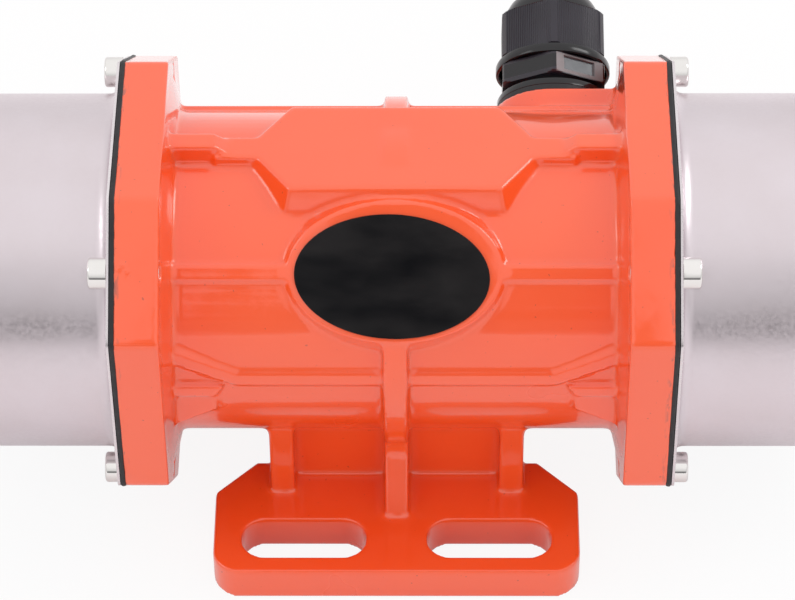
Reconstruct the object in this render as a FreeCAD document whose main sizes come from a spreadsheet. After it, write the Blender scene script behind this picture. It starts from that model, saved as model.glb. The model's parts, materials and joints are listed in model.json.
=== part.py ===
import FreeCAD, Part
import math
import os
import re
import Sketcher

# Electric vibration motor: a cast housing on four slotted feet, a squirrel-cage rotor in two
# deep-groove ball bearings, and a pair of eccentric weights under a deep-drawn cup at each end.
#
# Frame: the origin is the centre of the four foot slots on the mounting face, +Z is up and the
# motor axis runs along X at axis_height. The front (cable gland to the rear) is -Y.
# Lengths are in millimetres, angles in degrees.

doc = FreeCAD.newDocument("VibrationMotor")
dims = doc.addObject("Spreadsheet::Sheet", "dims")

SIZES = (
    ("axis_height", 64.5, "mounting face to motor axis"),
    ("housing_length", 148.2, "end face to end face of the casting"),
    ("barrel_radius", 44.4, "outside of the casting between its flanges"),
    ("bore_radius", 38.5, "bore of the casting"),
    ("flange_thick", 11.7, "end flange of the casting"),
    ("flange_half", 54.7, "axis to the level top and bottom of a flange"),
    ("flange_side", 56.5, "axis to the upright front and rear of a flange"),
    ("flange_draft", 2.4, "flange thicker at its root than at its rim"),
    ("flange_level", 26.6, "half of a flange's level top"),
    ("flange_level_low", 29.1, "half of a flange's level bottom"),
    ("flange_upright", 29.2, "axis up to the top of a flange's upright front and rear"),
    ("flange_upright_low", 27, "axis down to the bottom of a flange's upright front and rear"),
    ("flange_corner", 2.5, "rounding between a flange's sides"),
    ("screw_radius", 55.3, "axis to the cover screws"),
    ("screw_shank", 5, "cover screw, M5"),
    ("screw_head", 8.5, "cover screw head across"),
    ("screw_head_tall", 5, "cover screw head along its axis"),
    ("screw_reach", 14, "cover screw under its head"),
    ("socket_across", 4, "cover screw hexagon socket"),
    ("socket_deep", 2.5, "cover screw hexagon socket depth"),
    ("hole_ease", 0.5, "clearance hole over a screw's diameter"),
    ("fit_ease", 0.02, "radial gap of a located or pressed fit"),
    ("gasket_thick", 1.6, "cover gasket"),
    ("cup_sheet", 0.8, "sheet of the end cup"),
    ("cup_radius", 49.3, "outside of the end cup"),
    ("cup_depth", 55, "gasket to the closed end of the cup"),
    ("cup_corner", 8, "outside radius of the cup's closed corner"),
    ("cup_root", 1.5, "outside radius where the cup meets its flange"),
    ("rim_band", 4, "flat ring drawn with the cup around its root"),
    ("rib_width", 4.5, "long ribs of the casting"),
    ("rib_radius", 45.8, "axis to the top of the long ribs"),
    ("hoop_width", 6.6, "middle rib around the casting"),
    ("hoop_radius", 48.5, "axis to the top of the middle rib"),
    ("deck_height", 47.9, "axis to the flat deck on top"),
    ("deck_length", 57, "straight front edge of the deck"),
    ("deck_width", 31.8, "front to rear across the deck"),
    ("deck_point", 37.3, "middle to where the deck narrows into its arm"),
    ("arm_width", 8.2, "low arm of the deck"),
    ("arm_end", 45, "middle to where the arm starts to climb"),
    ("arm_climb", 4, "length of the climb"),
    ("beam_height", 50.6, "axis to the high arm at the flange"),
    ("beam_width", 5.8, "high arm of the deck"),
    ("low_rib_level", 4.0, "low side rib above the axis, at the middle"),
    ("low_rib_rise", 13, "low side rib above the axis, at the flange"),
    ("low_rib_bend", 43, "middle to where the low side rib starts to climb"),
    ("lug_top", 2.2, "side lug's upper edge above the axis"),
    ("lug_tall", 4, "side lug, top to bottom"),
    ("lug_length", 15.8, "side lug from the flange"),
    ("lug_slant", 2.2, "side lug's lower edge shorter than its upper edge"),
    ("lug_reach", 46.6, "axis to the side lug's face"),
    ("gusset_reach", 45, "axis to the face of the gusset under the lug"),
    ("gusset_tall", 8.6, "axis down to the gusset's lower corner, at its free end"),
    ("gusset_root", 16.6, "axis down to the gusset's lower corner, at the flange"),
    ("badge_turn", 46.3, "badge face from upright toward the front"),
    ("badge_reach", 46, "axis to the face of the badge pad"),
    ("badge_pad_long", 58.4, "oval badge pad"),
    ("badge_pad_tall", 38.3, "oval badge pad"),
    ("badge_long", 52.5, "badge plate"),
    ("badge_tall", 33.4, "badge plate"),
    ("badge_thick", 0.5, "badge plate"),
    ("badge_shift", -0.8, "badge plate along the motor"),
    ("badge_pad_up", 1.2, "badge pad up the slope from the plate's middle"),
    ("badge_skew", -2.5, "badge plate turned in its own plane"),
    ("foot_length", 102.8, "each foot along the motor"),
    ("foot_reach", 65.3, "middle to the outer edge of a foot"),
    ("foot_inner", 24.9, "middle to the inner edge of a foot"),
    ("foot_thick", 11, "foot"),
    ("foot_corner", 8, "outer corner of a foot"),
    ("foot_cut", 11.4, "chamfer of a foot's inner corner"),
    ("slot_spacing", 52, "slot centres along the motor"),
    ("slot_pitch", 106, "slot centres across the motor"),
    ("slot_length", 35, "slot end to end"),
    ("slot_width", 13.5, "slot"),
    ("pedestal_length", 71.3, "pedestal along the motor"),
    ("pedestal_width", 57.6, "pedestal front to rear"),
    ("web_thick", 6.7, "end and middle webs of the pedestal"),
    ("web_width", 71.6, "end webs front to rear"),
    ("gusset_top", 37, "middle web from the middle, under the barrel"),
    ("gusset_foot", 45.4, "middle web from the middle, on the foot"),
    ("gusset_drop", 35.5, "axis down to where the middle web starts to spread"),
    ("gusset_crown", 28.9, "axis down to the top of the middle web"),
    ("core_wall", 6.6, "pedestal wall around the cored pockets"),
    ("core_deep", 18, "cored pockets up from the mounting face"),
    ("gland_along", 29.6, "right end face in to the cable gland"),
    ("gland_tilt", 70, "cable gland from upright toward the rear"),
    ("gland_seat", 48.5, "axis to the face that the gland seats on"),
    ("gland_boss", 34, "boss under the gland"),
    ("gland_thread", 25, "gland entry thread, M25"),
    ("gland_across", 29, "hexagons of the gland across flats"),
    ("gland_bore", 19, "clear way through the gland body"),
    ("washer_thick", 1.7, "gland sealing washer"),
    ("washer_across", 32, "gland sealing washer"),
    ("collar_thick", 2.1, "round collar of the gland body"),
    ("neck_gap", 1.7, "neck between collar and hexagon"),
    ("hex_tall", 6.5, "hexagon of the gland body"),
    ("tube_tall", 7, "threaded neck over the hexagon"),
    ("skirt_across", 32.6, "round skirt of the gland nut"),
    ("skirt_tall", 2.7, "round skirt of the gland nut"),
    ("nut_tall", 12, "ribbed hexagon of the gland nut"),
    ("dome_tall", 6.2, "dome of the gland nut"),
    ("dome_mouth", 19, "cable opening of the gland nut"),
    ("dome_wall", 2, "wall of the dome at its mouth"),
    ("dome_lip", 1.5, "straight lip of the dome's mouth"),
    ("cable_hole", 13, "hole of the rubber seal"),
    ("seal_tall", 12, "rubber seal"),
    ("finger_tall", 9, "clamp ring's fingers"),
    ("finger_count", 8, "clamp ring's fingers"),
    ("finger_taper", 3, "tapered tip of the clamp ring"),
    ("finger_gap", 1.2, "saw cut between the fingers"),
    ("clamp_ease", 0.3, "radial gap around the clamp ring"),
    ("seat_radius", 46, "recess for the bearing shield in each end face"),
    ("seat_deep", 8, "recess for the bearing shield"),
    ("spigot_long", 4, "spigot of the shield in the bore"),
    ("hub_radius", 26, "bearing hub of the shield"),
    ("hub_wall", 1, "hub beyond the bearing's inner face"),
    ("shield_screw", 4, "shield screw, M4"),
    ("shield_head", 7, "shield screw head"),
    ("shield_head_tall", 4, "shield screw head along its axis"),
    ("shield_reach", 12, "shield screw under its head"),
    ("shield_circle", 42.3, "axis to the shield screws"),
    ("bearing_bore", 17, "ball bearing 6203"),
    ("bearing_across", 40, "ball bearing 6203"),
    ("bearing_width", 12, "ball bearing 6203"),
    ("bearing_face", 19.1, "end face in to the inner face of a bearing"),
    ("ball_across", 6.75, "ball"),
    ("ball_circle", 28.5, "ball pitch circle"),
    ("ball_count", 8, "balls in a bearing"),
    ("ball_ease", 0.1, "gap around a ball"),
    ("ring_wall", 3.1, "bearing ring beside its groove"),
    ("cage_width", 8, "ball cage"),
    ("cage_wall", 2.4, "ball cage"),
    ("seal_plate", 0.8, "bearing seal"),
    ("seal_recess", 0.5, "bearing seal behind the ring faces"),
    ("spring_room", 1.5, "space for the wave spring behind the left bearing"),
    ("spring_wall", 3, "wave spring ring"),
    ("stack_length", 60, "laminated stack of stator and rotor"),
    ("stator_bore", 23, "bore radius of the stator"),
    ("slot_count", 24, "stator slots"),
    ("slot_floor", 33, "axis to the floor of a stator slot"),
    ("slot_lip", 1.6, "tooth tip"),
    ("slot_wide", 3.2, "stator slot"),
    ("slot_mouth", 1.5, "opening of a stator slot"),
    ("liner_gap", 0.2, "room for the insulation around the winding"),
    ("coil_overhang", 16, "winding beyond the stack"),
    ("coil_height", 9.4, "end winding, radial"),
    ("coil_width", 12, "end winding along the axis"),
    ("lead_across", 2.4, "insulated lead"),
    ("lead_spacing", 3.4, "leads side by side"),
    ("lead_inset", 1.5, "outer face of the end winding in to the leads"),
    ("lead_reach", 20, "leads from the winding into the gland"),
    ("air_gap", 0.4, "rotor to stator"),
    ("bar_count", 18, "rotor bars"),
    ("bar_across", 3.8, "rotor bar"),
    ("bar_depth", 3.4, "rotor surface to bar centre"),
    ("end_ring_width", 7, "short-circuit ring of the rotor"),
    ("end_ring_wall", 7.6, "short-circuit ring of the rotor"),
    ("shaft_core", 22, "shaft in the rotor"),
    ("shoulder_step", 2, "shaft shoulder behind a bearing, and its gap to the rotor cage"),
    ("shaft_end", 16, "shaft under the weights"),
    ("shaft_tail", 4, "shaft beyond the retaining ring"),
    ("spacer_across", 24, "sleeve between bearing and weight"),
    ("spacer_long", 13, "sleeve between bearing and weight"),
    ("spacer_ease", 0.5, "sleeve to shield"),
    ("fixed_thick", 20, "fixed weight"),
    ("loose_thick", 18, "adjustable weight"),
    ("weight_gap", 0.3, "side gap of the adjustable weight"),
    ("weight_radius", 40, "outer radius of the weights"),
    ("weight_half", 80, "half of the weight's sector angle"),
    ("weight_hub", 14, "hub radius of the weights"),
    ("key_side", 5, "parallel key, width and height"),
    ("key_sunk", 3, "key depth in the shaft"),
    ("key_ease", 0.1, "gap over the key"),
    ("key_inset", 1, "key shorter than its weight at each end"),
    ("clamp_ear_half", 11, "half width of the adjustable weight's clamp"),
    ("clamp_ear_top", 25, "axis to the top of the clamp"),
    ("clamp_gap", 1.5, "saw cut of the clamp"),
    ("clamp_level", 18.5, "axis to the clamp screw"),
    ("ring_thick", 1.2, "retaining ring"),
    ("ring_sunk", 0.5, "retaining ring groove"),
    ("ring_across", 22, "retaining ring outside"),
    ("ring_gap", 4, "open mouth of the retaining ring"),
    ("overrun", 1, "joined solids reach into each other, and cuts reach past a face, by this much"),
)

for row, (alias, value, meaning) in enumerate(SIZES, start=1):
    dims.set(f"A{row}", meaning)
    dims.set(f"B{row}", str(value))
    dims.setAlias(f"B{row}", alias)
doc.recompute()

ALIASES = re.compile(r"\b(" + "|".join(alias for alias, _, _ in SIZES) + r")\b")

# Places along the motor axis, from the middle outward.
END_FACE = "(housing_length / 2)"
FLANGE_BACK = f"({END_FACE} - flange_thick)"
COVER_SEAT = f"({END_FACE} + gasket_thick)"
COVER_FACE = f"({COVER_SEAT} + cup_sheet)"
CUP_END = f"({COVER_SEAT} + cup_depth)"
SHIELD_SEAT = f"({END_FACE} - seat_deep)"
GLAND_MIDDLE = f"({END_FACE} - gland_along)"
BEARING_IN = f"({END_FACE} - bearing_face)"
BEARING_OUT = f"({BEARING_IN} + bearing_width)"
BEARING_MIDDLE = f"({BEARING_IN} + bearing_width / 2)"
FIXED_IN = f"({BEARING_OUT} + spacer_long)"
FIXED_OUT = f"({FIXED_IN} + fixed_thick)"
LOOSE_IN = f"({FIXED_OUT} + weight_gap)"
LOOSE_OUT = f"({LOOSE_IN} + loose_thick)"
RING_IN = f"({LOOSE_OUT} + weight_gap)"
RING_OUT = f"({RING_IN} + ring_thick)"
SHAFT_TIP = f"({RING_OUT} + shaft_tail)"

# Radii and distances from the motor axis.
CUP_INSIDE = "(cup_radius - cup_sheet)"
BARREL_INNER = "((barrel_radius + bore_radius) / 2)"
HALF_HOOP = "(hoop_width / 2)"
FOOT_TOP = "(axis_height - foot_thick)"

# Places along the gland axis, from the motor axis outward.
WASHER_TOP = "(gland_seat + washer_thick)"
COLLAR_TOP = f"({WASHER_TOP} + collar_thick)"
HEX_START = f"({COLLAR_TOP} + neck_gap)"
HEX_TOP = f"({HEX_START} + hex_tall)"
SKIRT_TOP = f"({HEX_TOP} + skirt_tall)"
NUT_TOP = f"({SKIRT_TOP} + nut_tall)"
DOME_TOP = f"({NUT_TOP} + dome_tall)"
TUBE_TOP = f"({HEX_TOP} + tube_tall)"

SIDES = ((-1, "left"), (1, "right"))
TINY = 1e-9
parts = []


def bind(text):
    """An expression written in plain aliases, as one that reads the sheet."""
    return ALIASES.sub(r"dims.\1", text)


def size(text):
    """The value of such an expression now."""
    result = dims.evalExpression(text)
    return float(getattr(result, "Value", result))


def keep(feature, label):
    """Hand a finished sub-part in under its own label."""
    feature.Label = label
    parts.append(feature)
    return feature


def at(feature, x="0", y="0", z="axis_height", turn="0"):
    """Place a feature on the motor axis, turned about it from upright toward the front."""
    if turn != "0":
        tilted = FreeCAD.Rotation(FreeCAD.Vector(1, 0, 0), size(turn))
        feature.Placement = FreeCAD.Placement(FreeCAD.Vector(0, 0, 0), tilted)
        feature.setExpression("Placement.Rotation.Angle", bind(turn))
    feature.setExpression("Placement.Base.x", bind(x))
    feature.setExpression("Placement.Base.y", bind(y))
    feature.setExpression("Placement.Base.z", bind(z))
    return feature


def outward(feature, distance, turn, x="0", up="0"):
    """Place a feature at a distance from the motor axis, along a direction turned toward the front,
    and moved up the slope square to it."""
    y = f"{up} * cos({turn}) - ({distance}) * sin({turn})"
    z = f"axis_height + {up} * sin({turn}) + ({distance}) * cos({turn})"
    return at(feature, x, y, z, turn)


# ---------------------------------------------------------------- sketches


def pin(sketch, geometry, point, x, y):
    """Hold one point of a sketch at two expressions of the sheet."""
    for kind, text in (("DistanceX", x), ("DistanceY", y)):
        index = sketch.addConstraint(Sketcher.Constraint(kind, -1, 1, geometry, point, size(text)))
        sketch.setExpression(f"Constraints[{index}]", bind(text))


def hold_radius(sketch, geometry, text):
    index = sketch.addConstraint(Sketcher.Constraint("Radius", geometry, size(text)))
    sketch.setExpression(f"Constraints[{index}]", bind(text))


def sign_of(value):
    return (value > TINY) - (value < -TINY)


def outline(sketch, corners):
    """A closed outline. A corner is (x, y), (x, y, radius) where two sides meet square, or
    (x, y, radius, centre x, centre y) where they meet at another angle."""
    count = len(corners)
    spots = [FreeCAD.Vector(size(corner[0]), size(corner[1]), 0) for corner in corners]
    starts = []
    ends = []
    rounds = {}
    for index, corner in enumerate(corners):
        if len(corner) == 2:
            starts.append(spots[index])
            ends.append(spots[index])
            continue
        before = spots[index - 1] - spots[index]
        after = spots[(index + 1) % count] - spots[index]
        before.normalize()
        after.normalize()
        radius = size(corner[2])
        reach = radius / math.tan(before.getAngle(after) / 2)
        ends.append(spots[index] + before * reach)
        starts.append(spots[index] + after * reach)
        inward = before + after
        middle = [f"{corner[0]} + ({sign_of(inward.x)}) * ({corner[2]})"]
        middle.append(f"{corner[1]} + ({sign_of(inward.y)}) * ({corner[2]})")
        rounds[index] = (radius, corner[3:] or middle)
    lines = [
        sketch.addGeometry(Part.LineSegment(starts[index], ends[(index + 1) % count]), False)
        for index in range(count)
    ]
    for index, corner in enumerate(corners):
        line_in = lines[index - 1]
        line_out = lines[index]
        if index not in rounds:
            sketch.addConstraint(Sketcher.Constraint("Coincident", line_in, 2, line_out, 1))
            pin(sketch, line_out, 1, corner[0], corner[1])
            continue
        radius, (centre_x, centre_y) = rounds[index]
        centre = FreeCAD.Vector(size(centre_x), size(centre_y), 0)
        circle = Part.Circle(centre, FreeCAD.Vector(0, 0, 1), radius)
        first = circle.parameter(ends[index])
        last = circle.parameter(starts[index])
        forward = (last - first) % math.tau < math.pi
        span = (first, last) if forward else (last, first)
        arc = sketch.addGeometry(Part.ArcOfCircle(circle, *span), False)
        arc_in, arc_out = (1, 2) if forward else (2, 1)
        sketch.addConstraint(Sketcher.Constraint("Tangent", line_in, 2, arc, arc_in))
        sketch.addConstraint(Sketcher.Constraint("Tangent", arc, arc_out, line_out, 1))
        hold_radius(sketch, arc, corner[2])
        pin(sketch, arc, 3, centre_x, centre_y)


def circle(sketch, radius, x="0", y="0"):
    spot = FreeCAD.Vector(size(x), size(y), 0)
    geometry = sketch.addGeometry(Part.Circle(spot, FreeCAD.Vector(0, 0, 1), size(radius)), False)
    hold_radius(sketch, geometry, radius)
    pin(sketch, geometry, 3, x, y)


def sector(sketch, radius, half_angle):
    """A sector that hangs straight down from the sketch's origin."""
    reach = size(radius)
    left = FreeCAD.Vector(-size(f"{radius} * sin({half_angle})"), -size(f"{radius} * cos({half_angle})"), 0)
    right = FreeCAD.Vector(-left.x, left.y, 0)
    middle = FreeCAD.Vector(0, 0, 0)
    rim = sketch.addGeometry(Part.Arc(left, FreeCAD.Vector(0, -reach, 0), right), False)
    flank_in = sketch.addGeometry(Part.LineSegment(middle, left), False)
    flank_out = sketch.addGeometry(Part.LineSegment(right, middle), False)
    sketch.addConstraint(Sketcher.Constraint("Coincident", rim, 3, -1, 1))
    sketch.addConstraint(Sketcher.Constraint("Coincident", flank_in, 1, -1, 1))
    sketch.addConstraint(Sketcher.Constraint("Coincident", flank_out, 2, -1, 1))
    sketch.addConstraint(Sketcher.Constraint("Coincident", flank_in, 2, rim, 1))
    sketch.addConstraint(Sketcher.Constraint("Coincident", flank_out, 1, rim, 2))
    hold_radius(sketch, rim, radius)
    for flank, point in ((flank_in, 2), (flank_out, 1)):
        drop = f"-({radius}) * cos({half_angle})"
        held = Sketcher.Constraint("DistanceY", -1, 1, flank, point, size(drop))
        index = sketch.addConstraint(held)
        sketch.setExpression(f"Constraints[{index}]", bind(drop))


def slot_outline(sketch, x, y, length, width):
    """A round-ended slot that lies along the sketch's X."""
    half = f"(({length} - {width}) / 2)"
    radius = size(f"{width} / 2")
    row = size(y)
    arcs = []
    for sign, middle in ((1, f"{x} + {half}"), (-1, f"{x} - {half}")):
        centre = FreeCAD.Vector(size(middle), row, 0)
        top = centre + FreeCAD.Vector(0, sign * radius, 0)
        low = centre - FreeCAD.Vector(0, sign * radius, 0)
        tip = centre + FreeCAD.Vector(sign * radius, 0, 0)
        arc = sketch.addGeometry(Part.Arc(low, tip, top), False)
        pin(sketch, arc, 3, middle, y)
        hold_radius(sketch, arc, f"{width} / 2")
        arcs.append((arc, low, top))
    for (first, _, leaves), (second, arrives, _) in ((arcs[0], arcs[1]), (arcs[1], arcs[0])):
        line = sketch.addGeometry(Part.LineSegment(leaves, arrives), False)
        sketch.addConstraint(Sketcher.Constraint("Tangent", first, 2, line, 1))
        sketch.addConstraint(Sketcher.Constraint("Tangent", line, 2, second, 1))


def hexagon(sketch, across):
    corner = f"({across} / 2 / cos(30))"
    outline(sketch, [(f"{corner} * sin({turn})", f"{corner} * cos({turn})") for turn in range(0, 360, 60)])


def octagon(sketch):
    """The outline that the casting's flanges share with the gaskets and the cups."""
    corners = []
    for sign_y, sign_z in ((1, 1), (-1, 1), (-1, -1), (1, -1)):
        half = "" if sign_z > 0 else "_low"
        slope = f"atan((flange_half - flange_upright{half}) / (flange_side - flange_level{half}))"
        side_centre = f"flange_upright{half} - flange_corner * tan((90 deg - {slope}) / 2)"
        level_centre = f"flange_level{half} - flange_corner * tan({slope} / 2)"
        side = ("flange_side", f"flange_upright{half}", "flange_side - flange_corner", side_centre)
        level = (f"flange_level{half}", "flange_half", level_centre, "flange_half - flange_corner")
        pair = []
        for y, z, centre_y, centre_z in (side, level):
            spot = (f"({sign_y}) * ({y})", f"({sign_z}) * ({z})")
            centre = (f"({sign_y}) * ({centre_y})", f"({sign_z}) * ({centre_z})")
            pair.append((*spot, "flange_corner", *centre))
        corners += pair if sign_y * sign_z > 0 else pair[::-1]
    outline(sketch, corners)


def screw_places(radius):
    """The four corners at a radius, between upright and level."""
    arm = f"({radius} * cos(45))"
    return [(f"({a}) * {arm}", f"({b}) * {arm}") for a in (1, -1) for b in (1, -1)]


# ---------------------------------------------------------------- bodies made of sketched features


def new_body(label, x="0", turn="0"):
    """A body whose own origin lies on the motor axis."""
    return at(doc.addObject("PartDesign::Body", label), x, turn=turn)


def origin(body, role):
    return next(item for item in body.Origin.OriginFeatures if item.Role == role)


def sketch_on(body, role, name, offset="0"):
    sketch = body.newObject("Sketcher::SketchObject", name)
    sketch.AttachmentSupport = (origin(body, role), [""])
    sketch.MapMode = "FlatFace"
    if offset != "0":
        sketch.setExpression("AttachmentOffset.Base.z", bind(offset))
    return sketch


def turned(body, corners, axis="H_Axis"):
    """Turn an outline in the body's upright plane about its level (H) or upright (V) axis."""
    sketch = sketch_on(body, "XZ_Plane", body.Name + "_profile")
    outline(sketch, corners)
    solid = body.newObject("PartDesign::Revolution", body.Name + "_turned")
    solid.Profile = sketch
    solid.ReferenceAxis = (sketch, [axis])
    solid.Angle = 360
    return solid


def padded(body, sketch, length):
    solid = body.newObject("PartDesign::Pad", sketch.Name + "_pad")
    solid.Profile = sketch
    solid.setExpression("Length", bind(length))
    return solid


def lofted(body, first, last):
    """Run straight from one sketch to the other."""
    solid = body.newObject("PartDesign::AdditiveLoft", first.Name + "_loft")
    solid.Profile = first
    solid.Sections = [last]
    solid.Ruled = True
    return solid


def pocketed(body, sketch):
    """Cut a sketch through the whole body, both ways."""
    cut = body.newObject("PartDesign::Pocket", sketch.Name + "_cut")
    cut.Profile = sketch
    cut.Type = "ThroughAll"
    cut.SideType = "Symmetric"
    return cut


def repeated(body, features, count, role="X_Axis"):
    pattern = body.newObject("PartDesign::PolarPattern", body.Name + "_around")
    pattern.Originals = features
    pattern.Axis = (origin(body, role), [""])
    pattern.Angle = 360
    pattern.setExpression("Occurrences", bind(count))
    body.Tip = pattern
    return pattern


def mirrored(source, label):
    """The left-hand copy of a right-hand sub-part."""
    copy = doc.addObject("Part::Mirroring", label)
    copy.Source = source
    copy.Normal = FreeCAD.Vector(1, 0, 0)
    return keep(copy, label)


def both_sides(body, stem):
    keep(body, stem + "_right")
    mirrored(body, stem + "_left")


# ---------------------------------------------------------------- housing


def extruded(name, draw, length):
    sketch = doc.addObject("Sketcher::SketchObject", name + "_outline")
    draw(sketch)
    solid = doc.addObject("Part::Extrusion", name)
    solid.Base = sketch
    solid.DirMode = "Normal"
    solid.Solid = True
    solid.setExpression("LengthFwd", bind(length))
    return solid


def prism(name, corners, start, stop, turn="0"):
    """An (along, across) outline drawn square to a direction from the motor axis."""
    solid = extruded(name, lambda sketch: outline(sketch, corners), f"{stop} - ({start})")
    return outward(solid, start, turn)


def flange_root(name, side):
    """The slight cone that thickens a flange toward the barrel."""
    solid = doc.addObject("Part::Cone", name)
    solid.setExpression("Radius1", bind("barrel_radius"))
    solid.setExpression("Radius2", bind("flange_half"))
    solid.setExpression("Height", bind("flange_draft"))
    solid.Placement = FreeCAD.Placement(
        FreeCAD.Vector(0, 0, 0), FreeCAD.Rotation(FreeCAD.Vector(0, 1, 0), 90 * side)
    )
    return at(solid, f"({side}) * ({FLANGE_BACK} - flange_draft)")


def web(name, corners, width, turn="0"):
    """An (along, outward) outline in a plane through the motor axis, thickened evenly."""
    solid = extruded(name, lambda sketch: outline(sketch, corners), width)
    solid.Symmetric = True
    return at(solid, turn=f"90 + {turn}")


def bulkhead(name, draw, start, length):
    """A (rearward, upward) outline that runs along the motor."""
    solid = extruded(name, draw, length)
    solid.Placement = FreeCAD.Placement(
        FreeCAD.Vector(0, 0, 0), FreeCAD.Rotation(FreeCAD.Vector(1, 1, 1), 120)
    )
    return at(solid, start)


def drum(name, radius, start, length, y="0", z="0"):
    """A cylinder along the motor."""
    solid = doc.addObject("Part::Cylinder", name)
    solid.setExpression("Radius", bind(radius))
    solid.setExpression("Height", bind(length))
    solid.Placement = FreeCAD.Placement(
        FreeCAD.Vector(0, 0, 0), FreeCAD.Rotation(FreeCAD.Vector(0, 1, 0), 90)
    )
    return at(solid, start, y, f"axis_height + {z}")


def spindle(name, radius, start, stop):
    """A cylinder along the gland axis."""
    solid = doc.addObject("Part::Cylinder", name)
    solid.setExpression("Radius", bind(radius))
    solid.setExpression("Height", bind(f"{stop} - ({start})"))
    return outward(solid, start, "-gland_tilt", GLAND_MIDDLE)


def rectangle(x_from, x_to, y_from, y_to):
    return [(x_from, y_from), (x_to, y_from), (x_to, y_to), (x_from, y_to)]


def oval(name, long, tall, start, stop, turn, along="0", skew="0", up="0"):
    """An oval slab square to a direction from the motor axis."""
    ring = doc.addObject("Part::Ellipse", name + "_outline")
    ring.setExpression("MajorRadius", bind(f"{long} / 2"))
    ring.setExpression("MinorRadius", bind(f"{tall} / 2"))
    if skew != "0":
        tilted = FreeCAD.Rotation(FreeCAD.Vector(0, 0, 1), size(skew))
        ring.Placement = FreeCAD.Placement(FreeCAD.Vector(0, 0, 0), tilted)
    solid = doc.addObject("Part::Extrusion", name)
    solid.Base = ring
    solid.DirMode = "Custom"
    solid.Dir = FreeCAD.Vector(0, 0, 1)
    solid.Solid = True
    solid.setExpression("LengthFwd", bind(f"{stop} - ({start})"))
    return outward(solid, start, turn, along, up)


def badge_slab(name, start, stop):
    """The oval of the badge pad between two distances from the axis."""
    return oval(name, "badge_pad_long", "badge_pad_tall", start, stop, "badge_turn", up="badge_pad_up")


def deck():
    """The flat top of the casting with its stepped arms to the flanges."""
    point_half = "(arm_width / 2)"
    edge_half = "(deck_width / 2)"
    end_half = "(deck_length / 2)"
    right = [
        (end_half, f"-{edge_half}"),
        ("deck_point", f"-{point_half}"),
        ("deck_point", point_half),
        (end_half, edge_half),
    ]
    left = [(f"-({x})", y) for x, y in reversed(right)]
    arm_half = "(arm_end + arm_climb)"
    beam = [
        (f"{FLANGE_BACK} + overrun", BARREL_INNER),
        (f"{FLANGE_BACK} + overrun", "beam_height"),
        ("arm_end + arm_climb", "beam_height"),
        ("arm_end", "deck_height"),
        ("arm_end", BARREL_INNER),
    ]
    arms = rectangle(f"-{arm_half}", arm_half, f"-{point_half}", point_half)
    return [
        prism("deck", right + left, BARREL_INNER, "deck_height"),
        prism("arms", arms, BARREL_INNER, "deck_height"),
        web("beam_right", beam, "beam_width"),
        web("beam_left", [(f"-({x})", r) for x, r in beam], "beam_width"),
    ]


def low_rib(name, side, turn):
    """A side rib that climbs toward the flange; turn 90 is the front, -90 the rear."""
    up = "1" if turn == "90" else "-1"
    half = "(rib_width / 2)"
    path = [
        ("0", "low_rib_level"),
        ("low_rib_bend", "low_rib_level"),
        (f"{FLANGE_BACK} + overrun", "low_rib_rise"),
    ]
    lower = [(f"({side}) * ({x})", f"({up}) * ({t} - {half})") for x, t in path]
    upper = [(f"({side}) * ({x})", f"({up}) * ({t} + {half})") for x, t in reversed(path)]
    rib = doc.addObject("Part::Common", name)
    rib.Base = prism(name + "_band", lower + upper, BARREL_INNER, "rib_radius + overrun", turn)
    rib.Tool = drum(name + "_round", "rib_radius", f"-{END_FACE}", "housing_length")
    return rib


def side_lug(name, side, turn):
    """A short block against the flange under the side rib, on a gusset that deepens to the flange."""
    up = "1" if turn == "90" else "-1"
    end = f"({FLANGE_BACK} + overrun)"
    free = f"({FLANGE_BACK} - lug_length)"
    low = "(lug_top - lug_tall)"
    face = [(end, "lug_top"), (free, "lug_top"), (f"{free} + lug_slant", low), (end, low)]
    under = [
        (end, "0"),
        (f"{free} + lug_slant", "0"),
        (f"{free} + lug_slant", "-gusset_tall"),
        (end, "-gusset_root"),
    ]
    made = []
    for part_name, corners, reach in ((name, face, "lug_reach"), (name + "_gusset", under, "gusset_reach")):
        placed = [(f"({side}) * ({x})", f"({up}) * ({t})") for x, t in corners]
        made.append(prism(part_name, placed, BARREL_INNER, reach, turn))
    return made


def ribs():
    inside = f"({FLANGE_BACK} + overrun)"
    long_rib = rectangle(f"-{inside}", inside, BARREL_INNER, "rib_radius")
    made = [web("rib_front", long_rib, "rib_width", "45"), web("rib_rear", long_rib, "rib_width", "-45")]
    for side, hand in SIDES:
        for turn, place in (("90", "front"), ("-90", "rear")):
            made.append(low_rib(f"low_rib_{place}_{hand}", side, turn))
            made += side_lug(f"lug_{place}_{hand}", side, turn)
    return made


def foot(name, side):
    """One foot; side -1 is the front."""
    half = "(foot_length / 2)"
    corners = [
        (f"-({half} - foot_cut)", "foot_inner"),
        (f"({half} - foot_cut)", "foot_inner"),
        (half, "foot_inner + foot_cut"),
        (half, "foot_reach", "foot_corner"),
        (f"-{half}", "foot_reach", "foot_corner"),
        (f"-{half}", "foot_inner + foot_cut"),
    ]
    placed = [(corner[0], f"({side}) * ({corner[1]})", *corner[2:]) for corner in corners]
    return prism(name, placed, "-axis_height", f"-{FOOT_TOP}")


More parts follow.
